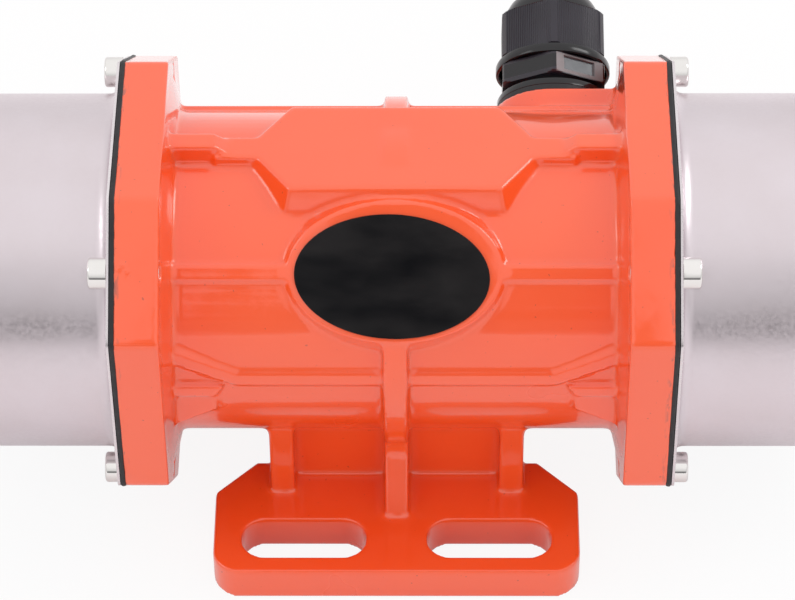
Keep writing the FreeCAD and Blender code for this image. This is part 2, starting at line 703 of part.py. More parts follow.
def pedestal():
    """The block between the feet, its two end webs and the gusseted middle web."""
    half_long = "(pedestal_length / 2)"
    half_wide = "(pedestal_width / 2)"
    half_web = "(web_width / 2)"
    crown = "-(bore_radius / 2)"
    block = rectangle(f"-{half_long}", half_long, f"-{half_wide}", half_wide)
    end_web = rectangle(f"-{half_web}", half_web, "-axis_height", crown)
    right = [
        ("gusset_foot", f"-{FOOT_TOP}"),
        ("gusset_top", "-gusset_drop"),
        ("gusset_top", "-gusset_crown"),
    ]
    gusset = right + [(f"-{y}", z) for y, z in reversed(right)]
    made = [
        prism("pedestal", block, "-axis_height", crown),
        bulkhead("middle_web", lambda sketch: outline(sketch, gusset), "-web_thick / 2", "web_thick"),
    ]
    for start, hand in ((f"-{half_long}", "left"), (f"{half_long} - web_thick", "right")):
        name = f"end_web_{hand}"
        made.append(bulkhead(name, lambda sketch: outline(sketch, end_web), start, "web_thick"))
    return made


def gland_mount():
    """The round boss under the gland, carried on as a block to the right flange."""
    half = "(gland_boss / 2)"
    block = rectangle(GLAND_MIDDLE, f"{FLANGE_BACK} + overrun", f"-{half}", half)
    return [
        spindle("gland_boss_round", half, BARREL_INNER, "gland_seat"),
        prism("gland_boss_block", block, BARREL_INNER, "gland_seat", "-gland_tilt"),
    ]


def housing_holes():
    half_slot_gap = "(slot_spacing / 2)"
    made = [
        badge_slab("badge_face", "badge_reach", "hoop_radius"),
        drum("bore", "bore_radius", f"-{END_FACE} - overrun", "housing_length + 2 * overrun"),
        spindle("gland_hole", "gland_thread / 2", "bore_radius / 2", "gland_seat + overrun"),
    ]
    for side, hand in SIDES:
        start = SHIELD_SEAT if side > 0 else f"-{END_FACE} - overrun"
        made.append(drum(f"seat_{hand}", "seat_radius", start, "seat_deep + overrun"))
        start = f"{FLANGE_BACK} - overrun" if side > 0 else f"-{END_FACE} - overrun"
        for index, (y, z) in enumerate(screw_places("screw_radius")):
            through = "flange_thick + 2 * overrun"
            made.append(drum(f"tapped_{hand}_{index}", "screw_shank / 2", start, through, y, z))
        start = f"{END_FACE} - shield_reach" if side > 0 else f"-{END_FACE} - overrun"
        for index, (y, z) in enumerate((("1", "0"), ("0", "1"), ("-1", "0"), ("0", "-1"))):
            place = (f"{y} * shield_circle", f"{z} * shield_circle")
            blind = "shield_reach + overrun"
            made.append(drum(f"shield_hole_{hand}_{index}", "shield_screw / 2", start, blind, *place))
        for row, place in ((-1, "front"), (1, "rear")):
            x = f"({side}) * {half_slot_gap}"
            y = f"({row}) * slot_pitch / 2"
            draw = lambda sketch: slot_outline(sketch, x, y, "slot_length", "slot_width")
            slot = extruded(f"slot_{place}_{hand}", draw, "foot_thick + 2 * overrun")
            made.append(at(slot, z="-overrun"))
            near = "(core_wall / 2)"
            far_x = "(pedestal_length / 2 - core_wall)"
            far_y = "(pedestal_width / 2 - core_wall)"
            pocket = [
                (f"({side}) * {a}", f"({row}) * {b}")
                for a, b in ((near, near), (far_x, near), (far_x, far_y), (near, far_y))
            ]
            mouth = "-axis_height - overrun"
            made.append(prism(f"core_{place}_{hand}", pocket, mouth, "-axis_height + core_deep"))
    return made


def housing():
    start = f"-({FLANGE_BACK} + overrun)"
    solids = [drum("barrel", "barrel_radius", start, f"-2 * {start}")]
    solids.append(bulkhead("flange_left", octagon, f"-{END_FACE}", "flange_thick"))
    solids.append(bulkhead("flange_right", octagon, FLANGE_BACK, "flange_thick"))
    solids += [flange_root("root_left", -1), flange_root("root_right", 1)]
    solids.append(drum("hoop", "hoop_radius", f"-{HALF_HOOP}", "hoop_width"))
    solids.append(badge_slab("badge_pad", BARREL_INNER, "badge_reach"))
    solids += deck() + ribs() + pedestal() + gland_mount()
    solids += [foot("foot_front", -1), foot("foot_rear", 1)]
    casting = doc.addObject("Part::MultiFuse", "casting")
    casting.Shapes = solids
    holes = doc.addObject("Part::MultiFuse", "holes")
    holes.Shapes = housing_holes()
    machined = doc.addObject("Part::Cut", "housing_machined")
    machined.Base = casting
    machined.Tool = holes
    machined.Refine = True
    keep(machined, "housing")


def badge_plate():
    top = "badge_reach + badge_thick"
    place = ("badge_turn", "badge_shift", "badge_skew")
    plate = oval("badge", "badge_long", "badge_tall", "badge_reach", top, *place)
    keep(plate, "badge_plate")


# ---------------------------------------------------------------- end covers


def cover_holes(body, name, radius):
    sketch = sketch_on(body, "YZ_Plane", name)
    for y, z in screw_places("screw_radius"):
        circle(sketch, radius, y, z)
    return pocketed(body, sketch)


def gaskets():
    body = new_body("gasket")
    sheet = sketch_on(body, "YZ_Plane", "gasket_outline", END_FACE)
    octagon(sheet)
    circle(sheet, CUP_INSIDE)
    padded(body, sheet, "gasket_thick")
    cover_holes(body, "gasket_holes", "(screw_shank + hole_ease) / 2")
    both_sides(body, "gasket")


def cups():
    """Deep-drawn end covers: a cup on a flat flange."""
    body = new_body("cup")
    rim = "(cup_radius + rim_band)"
    turned(body, [
        (COVER_SEAT, rim),
        (COVER_FACE, rim),
        (COVER_FACE, "cup_radius", "cup_root"),
        (CUP_END, "cup_radius", "cup_corner"),
        (CUP_END, "0"),
        (f"{CUP_END} - cup_sheet", "0"),
        (f"{CUP_END} - cup_sheet", CUP_INSIDE, "cup_corner - cup_sheet"),
        (COVER_SEAT, CUP_INSIDE, "cup_root + cup_sheet"),
    ])
    plate = sketch_on(body, "YZ_Plane", "cup_flange", COVER_SEAT)
    octagon(plate)
    circle(plate, f"{rim} - overrun")
    padded(body, plate, "cup_sheet")
    cover_holes(body, "cup_holes", "(screw_shank + hole_ease) / 2")
    both_sides(body, "cover")


def socket_screws(stem, seat, shank, head, head_tall, reach, circle_radius, turn):
    """Four cap screws around the motor axis, driven in from outside."""
    body = new_body(stem, turn=turn)
    stem_sketch = sketch_on(body, "YZ_Plane", stem + "_shank", f"{seat} - {reach}")
    circle(stem_sketch, f"{shank} / 2 - fit_ease", "0", circle_radius)
    features = [padded(body, stem_sketch, reach)]
    head_sketch = sketch_on(body, "YZ_Plane", stem + "_head", seat)
    circle(head_sketch, f"{head} / 2", "0", circle_radius)
    features.append(padded(body, head_sketch, head_tall))
    drive = sketch_on(body, "YZ_Plane", stem + "_socket", f"{seat} + {head_tall}")
    corner = "(socket_across / 2 / cos(30))"
    outline(drive, [
        (f"{corner} * sin({degrees})", f"{circle_radius} + {corner} * cos({degrees})")
        for degrees in range(0, 360, 60)
    ])
    cut = body.newObject("PartDesign::Pocket", stem + "_socket_cut")
    cut.Profile = drive
    cut.setExpression("Length", bind("socket_deep"))
    features.append(cut)
    repeated(body, features, "4")
    both_sides(body, stem)


# ---------------------------------------------------------------- bearings and shields


def bearing_shield(name, pocket_floor):
    """End shield: a plate in the casting's recess, a spigot in its bore and a bearing hub."""
    body = new_body(name)
    hub_face = f"({BEARING_IN} - hub_wall)"
    pocket = "(bearing_across / 2 + fit_ease)"
    spigot = "(bore_radius - fit_ease)"
    plate = "(seat_radius - fit_ease)"
    turned(body, [
        (hub_face, pocket),
        (hub_face, "hub_radius"),
        (f"{SHIELD_SEAT} - spigot_long", "hub_radius"),
        (f"{SHIELD_SEAT} - spigot_long", spigot),
        (SHIELD_SEAT, spigot),
        (SHIELD_SEAT, plate),
        (END_FACE, plate),
        (END_FACE, "spacer_across / 2 + spacer_ease"),
        (pocket_floor, "spacer_across / 2 + spacer_ease"),
        (pocket_floor, pocket),
    ])
    sketch = sketch_on(body, "YZ_Plane", name + "_hole")
    circle(sketch, "(shield_screw + hole_ease) / 2", "0", "shield_circle")
    repeated(body, [pocketed(body, sketch)], "4")
    return body


def bearing_rings():
    groove = "(ball_across / 2 + ball_ease)"
    fits = (
        ("bearing_inner_ring", "bearing_bore / 2 + fit_ease", "bearing_bore / 2 + ring_wall"),
        ("bearing_outer_ring", "bearing_across / 2 - ring_wall", "bearing_across / 2"),
    )
    for stem, inner, outer in fits:
        body = new_body(stem)
        turned(body, [
            (BEARING_IN, inner), (BEARING_OUT, inner), (BEARING_OUT, outer), (BEARING_IN, outer),
        ])
        sketch = sketch_on(body, "XZ_Plane", stem + "_groove")
        circle(sketch, groove, BEARING_MIDDLE, "ball_circle / 2")
        race = body.newObject("PartDesign::Groove", stem + "_race")
        race.Profile = sketch
        race.ReferenceAxis = (sketch, ["H_Axis"])
        race.Angle = 360
        both_sides(body, stem)


def ball_placed(body, kind, name, radius):
    """A ball, or a hole for one, on the pitch circle above the axis."""
    ball = body.newObject(kind, name)
    ball.setExpression("Radius", bind(radius))
    ball.setExpression("Placement.Base.x", bind(BEARING_MIDDLE))
    ball.setExpression("Placement.Base.z", bind("ball_circle / 2"))
    return ball


def balls_and_cages():
    body = new_body("bearing_balls")
    ball = ball_placed(body, "PartDesign::AdditiveSphere", "ball", "ball_across / 2")
    repeated(body, [ball], "ball_count")
    both_sides(body, "bearing_balls")

    body = new_body("bearing_cage")
    inner = "(ball_circle / 2 - cage_wall / 2)"
    outer = "(ball_circle / 2 + cage_wall / 2)"
    start = f"({BEARING_MIDDLE} - cage_width / 2)"
    stop = f"({BEARING_MIDDLE} + cage_width / 2)"
    turned(body, [(start, inner), (stop, inner), (stop, outer), (start, outer)])
    window = ball_placed(body, "PartDesign::SubtractiveSphere", "window", "ball_across / 2 + ball_ease / 2")
    repeated(body, [window], "ball_count")
    both_sides(body, "bearing_cage")


def bearing_seals():
    body = new_body("bearing_seals")
    inner = "(bearing_bore / 2 + ring_wall + ball_ease)"
    outer = "(bearing_across / 2 - ring_wall - fit_ease)"
    for start in (f"({BEARING_IN} + seal_recess)", f"({BEARING_OUT} - seal_recess - seal_plate)"):
        sketch = sketch_on(body, "YZ_Plane", "seal_ring", start)
        circle(sketch, inner)
        circle(sketch, outer)
        padded(body, sketch, "seal_plate")
    both_sides(body, "bearing_seals")


def shields_and_spring():
    keep(bearing_shield("shield_right", BEARING_OUT), "bearing_shield_right")
    mirrored(bearing_shield("shield_sprung", f"{BEARING_OUT} + spring_room"), "bearing_shield_left")
    body = new_body("wave_spring")
    sketch = sketch_on(body, "YZ_Plane", "spring_ring", f"-({BEARING_OUT} + spring_room)")
    circle(sketch, "bearing_across / 2 - spring_wall")
    circle(sketch, "bearing_across / 2 - ball_ease")
    padded(body, sketch, "spring_room")
    keep(body, "wave_spring")


# ---------------------------------------------------------------- stator


def stator():
    body = new_body("stator_core")
    half = "(stack_length / 2)"
    sketch = sketch_on(body, "YZ_Plane", "stack_outline", f"-{half}")
    circle(sketch, "bore_radius - fit_ease")
    circle(sketch, "stator_bore")
    padded(body, sketch, "stack_length")
    slot = sketch_on(body, "YZ_Plane", "stator_slot")
    neck = "(stator_bore + slot_lip)"
    side = [
        ("slot_mouth / 2", "stator_bore - overrun"),
        ("slot_mouth / 2", neck),
        ("slot_wide / 2", neck),
        ("slot_wide / 2", "slot_floor"),
    ]
    outline(slot, side + [(f"-{y}", z) for y, z in reversed(side)])
    repeated(body, [pocketed(body, slot)], "slot_count")
    keep(body, "stator_core")

    body = new_body("stator_winding")
    inner = "(stator_bore + slot_lip + liner_gap)"
    outer = f"({inner} + coil_height)"
    bevel = "(coil_height / 4)"
    last = f"({half} + coil_overhang)"
    first = f"({last} - coil_width)"
    for side, hand in SIDES:
        sketch = sketch_on(body, "XZ_Plane", f"end_winding_{hand}")
        ring = [
            (first, inner),
            (f"{last} - {bevel}", inner),
            (last, f"{inner} + {bevel}"),
            (last, f"{outer} - {bevel}"),
            (f"{last} - {bevel}", outer),
            (first, outer),
        ]
        outline(sketch, [(f"({side}) * ({x})", r) for x, r in ring])
        solid = body.newObject("PartDesign::Revolution", f"end_winding_{hand}_turned")
        solid.Profile = sketch
        solid.ReferenceAxis = (sketch, ["H_Axis"])
        solid.Angle = 360
    sketch = sketch_on(body, "YZ_Plane", "slot_winding", f"-({first} + overrun)")
    wide = "(slot_wide / 2 - liner_gap)"
    outline(sketch, rectangle(f"-{wide}", wide, f"{inner} + liner_gap", "slot_floor - liner_gap"))
    repeated(body, [padded(body, sketch, f"2 * ({first} + overrun)")], "slot_count")
    keep(body, "stator_winding")

    body = new_body("stator_leads", turn="-gland_tilt")
    root = f"({outer} + fit_ease)"
    coil_side = "(stack_length / 2 + coil_overhang - lead_inset)"
    for place in (-1, 0, 1):
        lead = []
        for along, level in ((coil_side, root), (GLAND_MIDDLE, f"({root} + lead_reach)")):
            sketch = sketch_on(body, "XY_Plane", "lead_end", level)
            circle(sketch, "lead_across / 2", along, f"({place}) * lead_spacing")
            lead.append(sketch)
        lofted(body, *lead)
    keep(body, "stator_leads")


# ---------------------------------------------------------------- rotor


def shaft():
    body = new_body("shaft")
    shoulder = "(stack_length / 2 + end_ring_width + shoulder_step)"
    half = [
        (shoulder, "shaft_core / 2"),
        (shoulder, "bearing_bore / 2 + shoulder_step"),
        (BEARING_IN, "bearing_bore / 2 + shoulder_step"),
        (BEARING_IN, "bearing_bore / 2"),
        (FIXED_IN, "bearing_bore / 2"),
        (FIXED_IN, "shaft_end / 2"),
        (RING_IN, "shaft_end / 2"),
        (RING_IN, "shaft_end / 2 - ring_sunk"),
        (RING_OUT, "shaft_end / 2 - ring_sunk"),
        (RING_OUT, "shaft_end / 2"),
        (SHAFT_TIP, "shaft_end / 2"),
        (SHAFT_TIP, "0"),
    ]
    turned(body, half + [(f"-({x})", r) for x, r in reversed(half)])
    floor = "(shaft_end / 2 - key_sunk)"
    ways = sketch_on(body, "XY_Plane", "keyways", floor)
    for side, hand in SIDES:
        outline(ways, key_outline(side, "0"))
    cut = body.newObject("PartDesign::Pocket", "keyways_cut")
    cut.Profile = ways
    cut.Reversed = True
    cut.setExpression("Length", bind("key_sunk + overrun"))
    keep(body, "rotor_shaft")


def key_outline(side, ease):
    start = f"({side}) * ({FIXED_IN} + key_inset - {ease})"
    stop = f"({side}) * ({FIXED_OUT} - key_inset + {ease})"
    return rectangle(start, stop, f"-key_side / 2 - {ease}", f"key_side / 2 + {ease}")


def rotor():
    half = "(stack_length / 2)"
    surface = "(stator_bore - air_gap)"
    body = new_body("rotor_core")
    sketch = sketch_on(body, "YZ_Plane", "rotor_outline", f"-{half}")
    circle(sketch, surface)
    circle(sketch, "shaft_core / 2 + fit_ease")
    padded(body, sketch, "stack_length")
    hole = sketch_on(body, "YZ_Plane", "bar_hole")
    circle(hole, "bar_across / 2", "0", f"{surface} - bar_depth")
    repeated(body, [pocketed(body, hole)], "bar_count")
    keep(body, "rotor_core")

    body = new_body("rotor_cage")
    outer = f"({surface} - bar_depth + bar_across / 2 + overrun)"
    for side, hand in SIDES:
        start = half if side > 0 else f"-({half} + end_ring_width)"
        ring = sketch_on(body, "YZ_Plane", f"end_ring_{hand}", start)
        circle(ring, outer)
        circle(ring, f"{outer} - end_ring_wall")
        padded(body, ring, "end_ring_width")
    bar = sketch_on(body, "YZ_Plane", "bar_outline", f"-{half} - overrun")
    circle(bar, "bar_across / 2 - fit_ease", "0", f"{surface} - bar_depth")
    repeated(body, [padded(body, bar, "stack_length + 2 * overrun")], "bar_count")
    keep(body, "rotor_cage")

    body = new_body("spacer")
    turned(body, rectangle(BEARING_OUT, FIXED_IN, "bearing_bore / 2 + fit_ease", "spacer_across / 2"))
    both_sides(body, "spacer_sleeve")

    body = new_body("key")
    sketch = sketch_on(body, "XY_Plane", "key_outline", "shaft_end / 2 - key_sunk")
    outline(sketch, key_outline(1, "(-fit_ease)"))
    padded(body, sketch, "key_side")
    both_sides(body, "weight_key")

    body = new_body("retaining_ring")
    sketch = sketch_on(body, "YZ_Plane", "retaining_outline", RING_IN)
    circle(sketch, "ring_across / 2")
    circle(sketch, "shaft_end / 2 - ring_sunk + fit_ease")
    padded(body, sketch, "ring_thick")
    mouth = sketch_on(body, "YZ_Plane", "retaining_mouth")
    outline(mouth, rectangle("-ring_gap / 2", "ring_gap / 2", "0", "ring_across"))
    pocketed(body, mouth)
    both_sides(body, "retaining_ring")


# ---------------------------------------------------------------- eccentric weights


def weight_blank(name, start, thick):
    """A hub with a sector that hangs below the shaft."""
    body = new_body(name)
    swing = sketch_on(body, "YZ_Plane", name + "_sector", start)
    sector(swing, "weight_radius", "weight_half")
    padded(body, swing, thick)
    hub = sketch_on(body, "YZ_Plane", name + "_hub", start)
    circle(hub, "weight_hub")
    padded(body, hub, thick)
    return body


def weight_bore(body, name, radius):
    sketch = sketch_on(body, "YZ_Plane", name)
    circle(sketch, radius)
    pocketed(body, sketch)


def weights():
    body = weight_blank("fixed_weight", FIXED_IN, "fixed_thick")
    weight_bore(body, "fixed_bore", "shaft_end / 2 + fit_ease")
    sketch = sketch_on(body, "YZ_Plane", "hub_keyway")
    roof = "shaft_end / 2 - key_sunk + key_side + key_ease"
    outline(sketch, rectangle("-key_side / 2 - fit_ease", "key_side / 2 + fit_ease", "0", roof))
    pocketed(body, sketch)
    both_sides(body, "fixed_weight")

    body = weight_blank("loose_weight", LOOSE_IN, "loose_thick")
    ear = sketch_on(body, "YZ_Plane", "clamp_ear", LOOSE_IN)
    outline(ear, rectangle("-clamp_ear_half", "clamp_ear_half", "0", "clamp_ear_top"))
    padded(body, ear, "loose_thick")
    weight_bore(body, "loose_bore", "shaft_end / 2 + 2 * fit_ease")
    split = sketch_on(body, "YZ_Plane", "clamp_split")
    outline(split, rectangle("-clamp_gap / 2", "clamp_gap / 2", "0", "clamp_ear_top + overrun"))
    pocketed(body, split)
    middle = f"({LOOSE_IN} + loose_thick / 2)"
    bolt_hole = sketch_on(body, "XZ_Plane", "clamp_hole")
    circle(bolt_hole, "(screw_shank + hole_ease) / 2", middle, "clamp_level")
    pocketed(body, bolt_hole)
    both_sides(body, "adjustable_weight")

    body = new_body("clamp_screw")
    shank = sketch_on(body, "XZ_Plane", "clamp_shank", "-(clamp_ear_half - overrun)")
    circle(shank, "screw_shank / 2", middle, "clamp_level")
    padded(body, shank, "2 * clamp_ear_half - overrun")
    head = sketch_on(body, "XZ_Plane", "clamp_head", "clamp_ear_half")
    circle(head, "screw_head / 2", middle, "clamp_level")
    padded(body, head, "screw_head_tall")
    both_sides(body, "weight_clamp_screw")


# ---------------------------------------------------------------- cable gland


def gland_part(name):
    return new_body(name, GLAND_MIDDLE, "-gland_tilt")


def hex_band(body, name, start, tall, hole):
    sketch = sketch_on(body, "XY_Plane", name, start)
    hexagon(sketch, "gland_across")
    circle(sketch, hole)
    padded(body, sketch, tall)


def gland():
    way = "(gland_bore / 2)"
    neck = "(gland_thread / 2 - fit_ease)"
    body = gland_part("gland_body")
    turned(body, [
        (way, "bore_radius + overrun"),
        (neck, "bore_radius + overrun"),
        (neck, WASHER_TOP),
        ("washer_across / 2", WASHER_TOP),
        ("washer_across / 2", COLLAR_TOP),
        (neck, COLLAR_TOP),
        (neck, TUBE_TOP),
        (way, TUBE_TOP),
    ], "V_Axis")
    hex_band(body, "body_hexagon", HEX_START, "hex_tall", f"{neck} - overrun")
    keep(body, "gland_body")

    body = gland_part("gland_washer")
    inner = "gland_thread / 2 + fit_ease"
    outer = "washer_across / 2"
    turned(body, rectangle(inner, outer, "gland_seat", WASHER_TOP), "V_Axis")
    keep(body, "gland_washer")

    body = gland_part("gland_clamp")
    ring_outer = "(gland_thread / 2 - clamp_ease)"
    top = f"({TUBE_TOP} + finger_tall)"
    turned(body, [
        (way, TUBE_TOP),
        (ring_outer, TUBE_TOP),
        (ring_outer, f"{top} - finger_taper"),
        (f"{ring_outer} - finger_taper / 3", top),
        (way, top),
    ], "V_Axis")
    gap = sketch_on(body, "XY_Plane", "finger_slit", f"{TUBE_TOP} + finger_tall / 3")
    outline(gap, rectangle("0", "gland_thread", "-finger_gap / 2", "finger_gap / 2"))
    cut = body.newObject("PartDesign::Pocket", "finger_cut")
    cut.Profile = gap
    cut.Reversed = True
    cut.setExpression("Length", bind("finger_tall"))
    repeated(body, [cut], "finger_count", "Z_Axis")
    keep(body, "gland_clamp")

    body = gland_part("gland_seal")
    start = f"({TUBE_TOP} + finger_tall - seal_tall)"
    turned(body, rectangle("cable_hole / 2", f"{way} - fit_ease", start, f"{start} + seal_tall"), "V_Axis")
    keep(body, "gland_seal")

    body = gland_part("gland_nut")
    inside = "(gland_thread / 2 + fit_ease)"
    flat = "(gland_across / 2 - fit_ease)"
    turned(body, [
        (inside, HEX_TOP),
        ("skirt_across / 2", HEX_TOP),
        ("skirt_across / 2", SKIRT_TOP),
        (flat, SKIRT_TOP),
        (flat, NUT_TOP),
        ("dome_mouth / 2 + dome_wall", DOME_TOP),
        ("dome_mouth / 2", DOME_TOP),
        ("dome_mouth / 2", f"{DOME_TOP} - dome_lip"),
        (inside, NUT_TOP),
    ], "V_Axis")
    hex_band(body, "nut_hexagon", SKIRT_TOP, "nut_tall", f"{inside} + overrun")
    keep(body, "gland_nut")


# ---------------------------------------------------------------- the whole motor

housing()
badge_plate()
gaskets()
cups()
socket_screws(
    "cover_screws", COVER_FACE, "screw_shank", "screw_head", "screw_head_tall", "screw_reach",
    "screw_radius", "45",
)
socket_screws(
    "shield_screws", END_FACE, "shield_screw", "shield_head", "shield_head_tall", "shield_reach",
    "shield_circle", "0",
)
shields_and_spring()
bearing_rings()
balls_and_cages()
bearing_seals()
stator()
shaft()
rotor()
weights()
gland()

doc.recompute()
for item in doc.Objects:
    if "Invalid" in item.State or "Error" in item.State:
        raise RuntimeError(f"{item.Label} failed: {item.State}")
for part in parts:
    if part.Shape.isNull() or not part.Shape.isValid():
        raise RuntimeError(f"{part.Label} has no valid shape")

os.makedirs("parts", exist_ok=True)
for part in parts:
    part.Shape.exportStep(f"parts/{part.Label}.step")
    box = part.Shape.BoundBox
    print(f"{part.Label}: {len(part.Shape.Solids)} solid(s), {part.Shape.Volume:.0f} mm3, "
          f"{box.XLength:.1f} x {box.YLength:.1f} x {box.ZLength:.1f}")
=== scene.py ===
import json
import math

import bmesh
import bpy
import numpy as np
from mathutils import Matrix, Vector
from mathutils.bvhtree import BVHTree


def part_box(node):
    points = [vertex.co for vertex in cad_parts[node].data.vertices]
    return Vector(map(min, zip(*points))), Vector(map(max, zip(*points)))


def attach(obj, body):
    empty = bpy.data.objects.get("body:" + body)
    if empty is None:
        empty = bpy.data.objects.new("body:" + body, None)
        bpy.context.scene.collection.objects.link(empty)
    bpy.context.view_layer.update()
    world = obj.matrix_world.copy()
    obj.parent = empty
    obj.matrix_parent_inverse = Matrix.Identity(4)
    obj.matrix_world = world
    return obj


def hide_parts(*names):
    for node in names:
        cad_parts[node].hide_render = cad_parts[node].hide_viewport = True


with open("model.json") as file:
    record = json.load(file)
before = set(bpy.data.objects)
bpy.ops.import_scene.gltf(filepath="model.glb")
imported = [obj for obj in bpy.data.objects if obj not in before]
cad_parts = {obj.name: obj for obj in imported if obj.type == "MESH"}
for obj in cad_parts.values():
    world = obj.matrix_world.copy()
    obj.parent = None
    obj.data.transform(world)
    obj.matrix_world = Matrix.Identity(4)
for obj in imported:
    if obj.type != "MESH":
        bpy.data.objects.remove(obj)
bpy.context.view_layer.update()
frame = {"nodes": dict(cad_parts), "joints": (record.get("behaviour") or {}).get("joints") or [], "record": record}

# A vibration motor dressed around its CAD frame. Metres throughout: X along the motor axis,
# -Y the front, +Z up from the mounting face. Sizes written in millimetres are times MM.

MM = 0.001
SIDES = (("left", -1), ("right", 1))
nodes = frame["nodes"]
mounts = {mount["name"]: mount for mount in frame["record"]["mounts"]}
AXIS = Vector(frame["joints"][0]["pos_m"])
END_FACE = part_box("housing")[1].x


# ---------------------------------------------------------------- camera

ELEVATION = math.radians(46.5)
YAW = math.radians(0.75)
DISTANCE = 1.064
# The focal length and the width of the view, in one unit.
FOCAL = 3800
VIEW_WIDTH = 795
SENSOR = 36.0
# The camera looks a little aside of the motor's middle and below its axis.
AIM_ASIDE = 0.28 * MM
AIM_LOW = 8.5 * MM
NEAREST = 0.05
FARTHEST = 20

back = Vector((
    math.sin(YAW) * math.cos(ELEVATION),
    -math.cos(YAW) * math.cos(ELEVATION),
    math.sin(ELEVATION),
))
up = back.cross(Vector((1, 0, 0))).normalized()
right = up.cross(back)

camera_data = bpy.data.cameras.new("camera")
camera_data.sensor_width = SENSOR
camera_data.lens = FOCAL / VIEW_WIDTH * SENSOR
camera_data.clip_start = NEAREST
camera_data.clip_end = FARTHEST
camera = bpy.data.objects.new("camera", camera_data)
bpy.context.scene.collection.objects.link(camera)
place = AXIS + back * DISTANCE + right * AIM_ASIDE - up * AIM_LOW
camera.matrix_world = Matrix((
    (right.x, up.x, back.x, place.x),
    (right.y, up.y, back.y, place.y),
    (right.z, up.z, back.z, place.z),
    (0, 0, 0, 1),
))
bpy.context.scene.camera = camera
bpy.context.scene.view_settings.view_transform = "Standard"


# ---------------------------------------------------------------- materials


def tint(code):
    """A colour from its sRGB hex code, in the linear values that Blender's sockets take."""
    channels = [int(code[i:i + 2], 16) / 255 for i in (0, 2, 4)]
    return [c / 12.92 if c <= 0.04045 else ((c + 0.055) / 1.055) ** 2.4 for c in channels] + [1]


def add(tree, kind, inputs=None, **settings):
    """Add a node with its settings; an input is given a value or another node's output."""
    node = tree.nodes.new(kind)
    for name, value in settings.items():
        setattr(node, name, value)
    for name, value in (inputs or {}).items():
        if isinstance(value, bpy.types.NodeSocket):
            tree.links.new(value, node.inputs[name])
        else:
            node.inputs[name].default_value = value
    return node


def worked(tree, operation, *values):
    """A sum on values or other nodes' outputs."""
    return add(tree, "ShaderNodeMath", dict(enumerate(values)), operation=operation).outputs[0]


def new_material(name):
    """A material with an empty tree, a shader and the object's own coordinates."""
    material = bpy.data.materials.new(name)
    material.use_nodes = True
    tree = material.node_tree
    tree.nodes.clear()
    shader = add(tree, "ShaderNodeBsdfPrincipled")
    add(tree, "ShaderNodeOutputMaterial", {"Surface": shader.outputs["BSDF"]})
    place = add(tree, "ShaderNodeTexCoord").outputs["Object"]
    return material, tree, shader, place


def noise(tree, place, grain_mm, detail=2.0, stretch=(1, 1, 1)):
    """Noise whose lumps are about grain_mm across, stretched by a factor along each axis."""
    mapped = add(tree, "ShaderNodeMapping", {"Vector": place, "Scale": [1 / s for s in stretch]})
    lumps = add(tree, "ShaderNodeTexNoise", {
        "Vector": mapped.outputs["Vector"], "Scale": 1 / (grain_mm * MM), "Detail": detail,
    })
    return lumps.outputs["Fac"]


def spread(tree, value, low, high, from_low=0.3, from_high=0.7):
    """Map a noise value onto a range of roughness, height or mixing."""
    mapped = add(tree, "ShaderNodeMapRange", {
        "Value": value, "From Min": from_low, "From Max": from_high, "To Min": low, "To Max": high,
    })
    return mapped.outputs["Result"]


def blend_colours(tree, share, first, second):
    """The first colour where the share is 0, the second where it is 1."""
    mixed = add(tree, "ShaderNodeMix", {0: share, 6: first, 7: second}, data_type="RGBA")
    return mixed.outputs[2]


def raised(tree, height, depth_mm, below=None):
    """Bump whose full height is depth_mm."""
    inputs = {"Height": height, "Distance": depth_mm * MM, "Strength": 1.0}
    if below is not None:
        inputs["Normal"] = below
    return add(tree, "ShaderNodeBump", inputs).outputs["Normal"]


ENAMEL = "F0501A"
ENAMEL_OTHER = "F1551E"
PINHOLE = "7A2A18"
CHIP_STAIN = "7C4337"
# How far in from an end face the paint is chipped.
CHIP_BAND = 1.6 * MM


def enamel():
    """Gloss orange-red enamel on a casting: a wet-looking coat that follows a softly uneven skin.

    A few pinholes show as dark specks, and the paint is chipped and stained along the end faces.
    """
    material, tree, shader, place = new_material("orange_gloss_enamel")
    drift = noise(tree, place, 45, 3)
    colour = blend_colours(tree, spread(tree, drift, 0, 1), tint(ENAMEL), tint(ENAMEL_OTHER))
    pinholes = spread(tree, noise(tree, place, 1.1, 1), 0, 0.5, 0.77, 0.8)
    colour = blend_colours(tree, pinholes, colour, tint(PINHOLE))
    along = add(tree, "ShaderNodeSeparateXYZ", {"Vector": place}).outputs["X"]
    near_end = spread(tree, worked(tree, "ABSOLUTE", along), 0, 1, END_FACE - CHIP_BAND, END_FACE)
    flaking = spread(tree, noise(tree, place, 3.0, 4, (0.5, 2, 2)), 0, 0.75, 0.58, 0.66)
    chipped = worked(tree, "MULTIPLY", near_end, flaking)
    colour = blend_colours(tree, chipped, colour, tint(CHIP_STAIN))
    orange_peel = noise(tree, place, 2.4, 2)
    waviness = noise(tree, place, 16, 1)
    normal = raised(tree, waviness, 0.12, raised(tree, orange_peel, 0.01))
    tree.links.new(colour, shader.inputs["Base Color"])
    tree.links.new(spread(tree, drift, 0.26, 0.36), shader.inputs["Roughness"])
    tree.links.new(normal, shader.inputs["Normal"])
    shader.inputs["IOR"].default_value = 1.5
    shader.inputs["Coat Weight"].default_value = 1.0
    shader.inputs["Coat IOR"].default_value = 1.6
    shader.inputs["Coat Roughness"].default_value = 0.07
    tree.links.new(normal, shader.inputs["Coat Normal"])
    return material


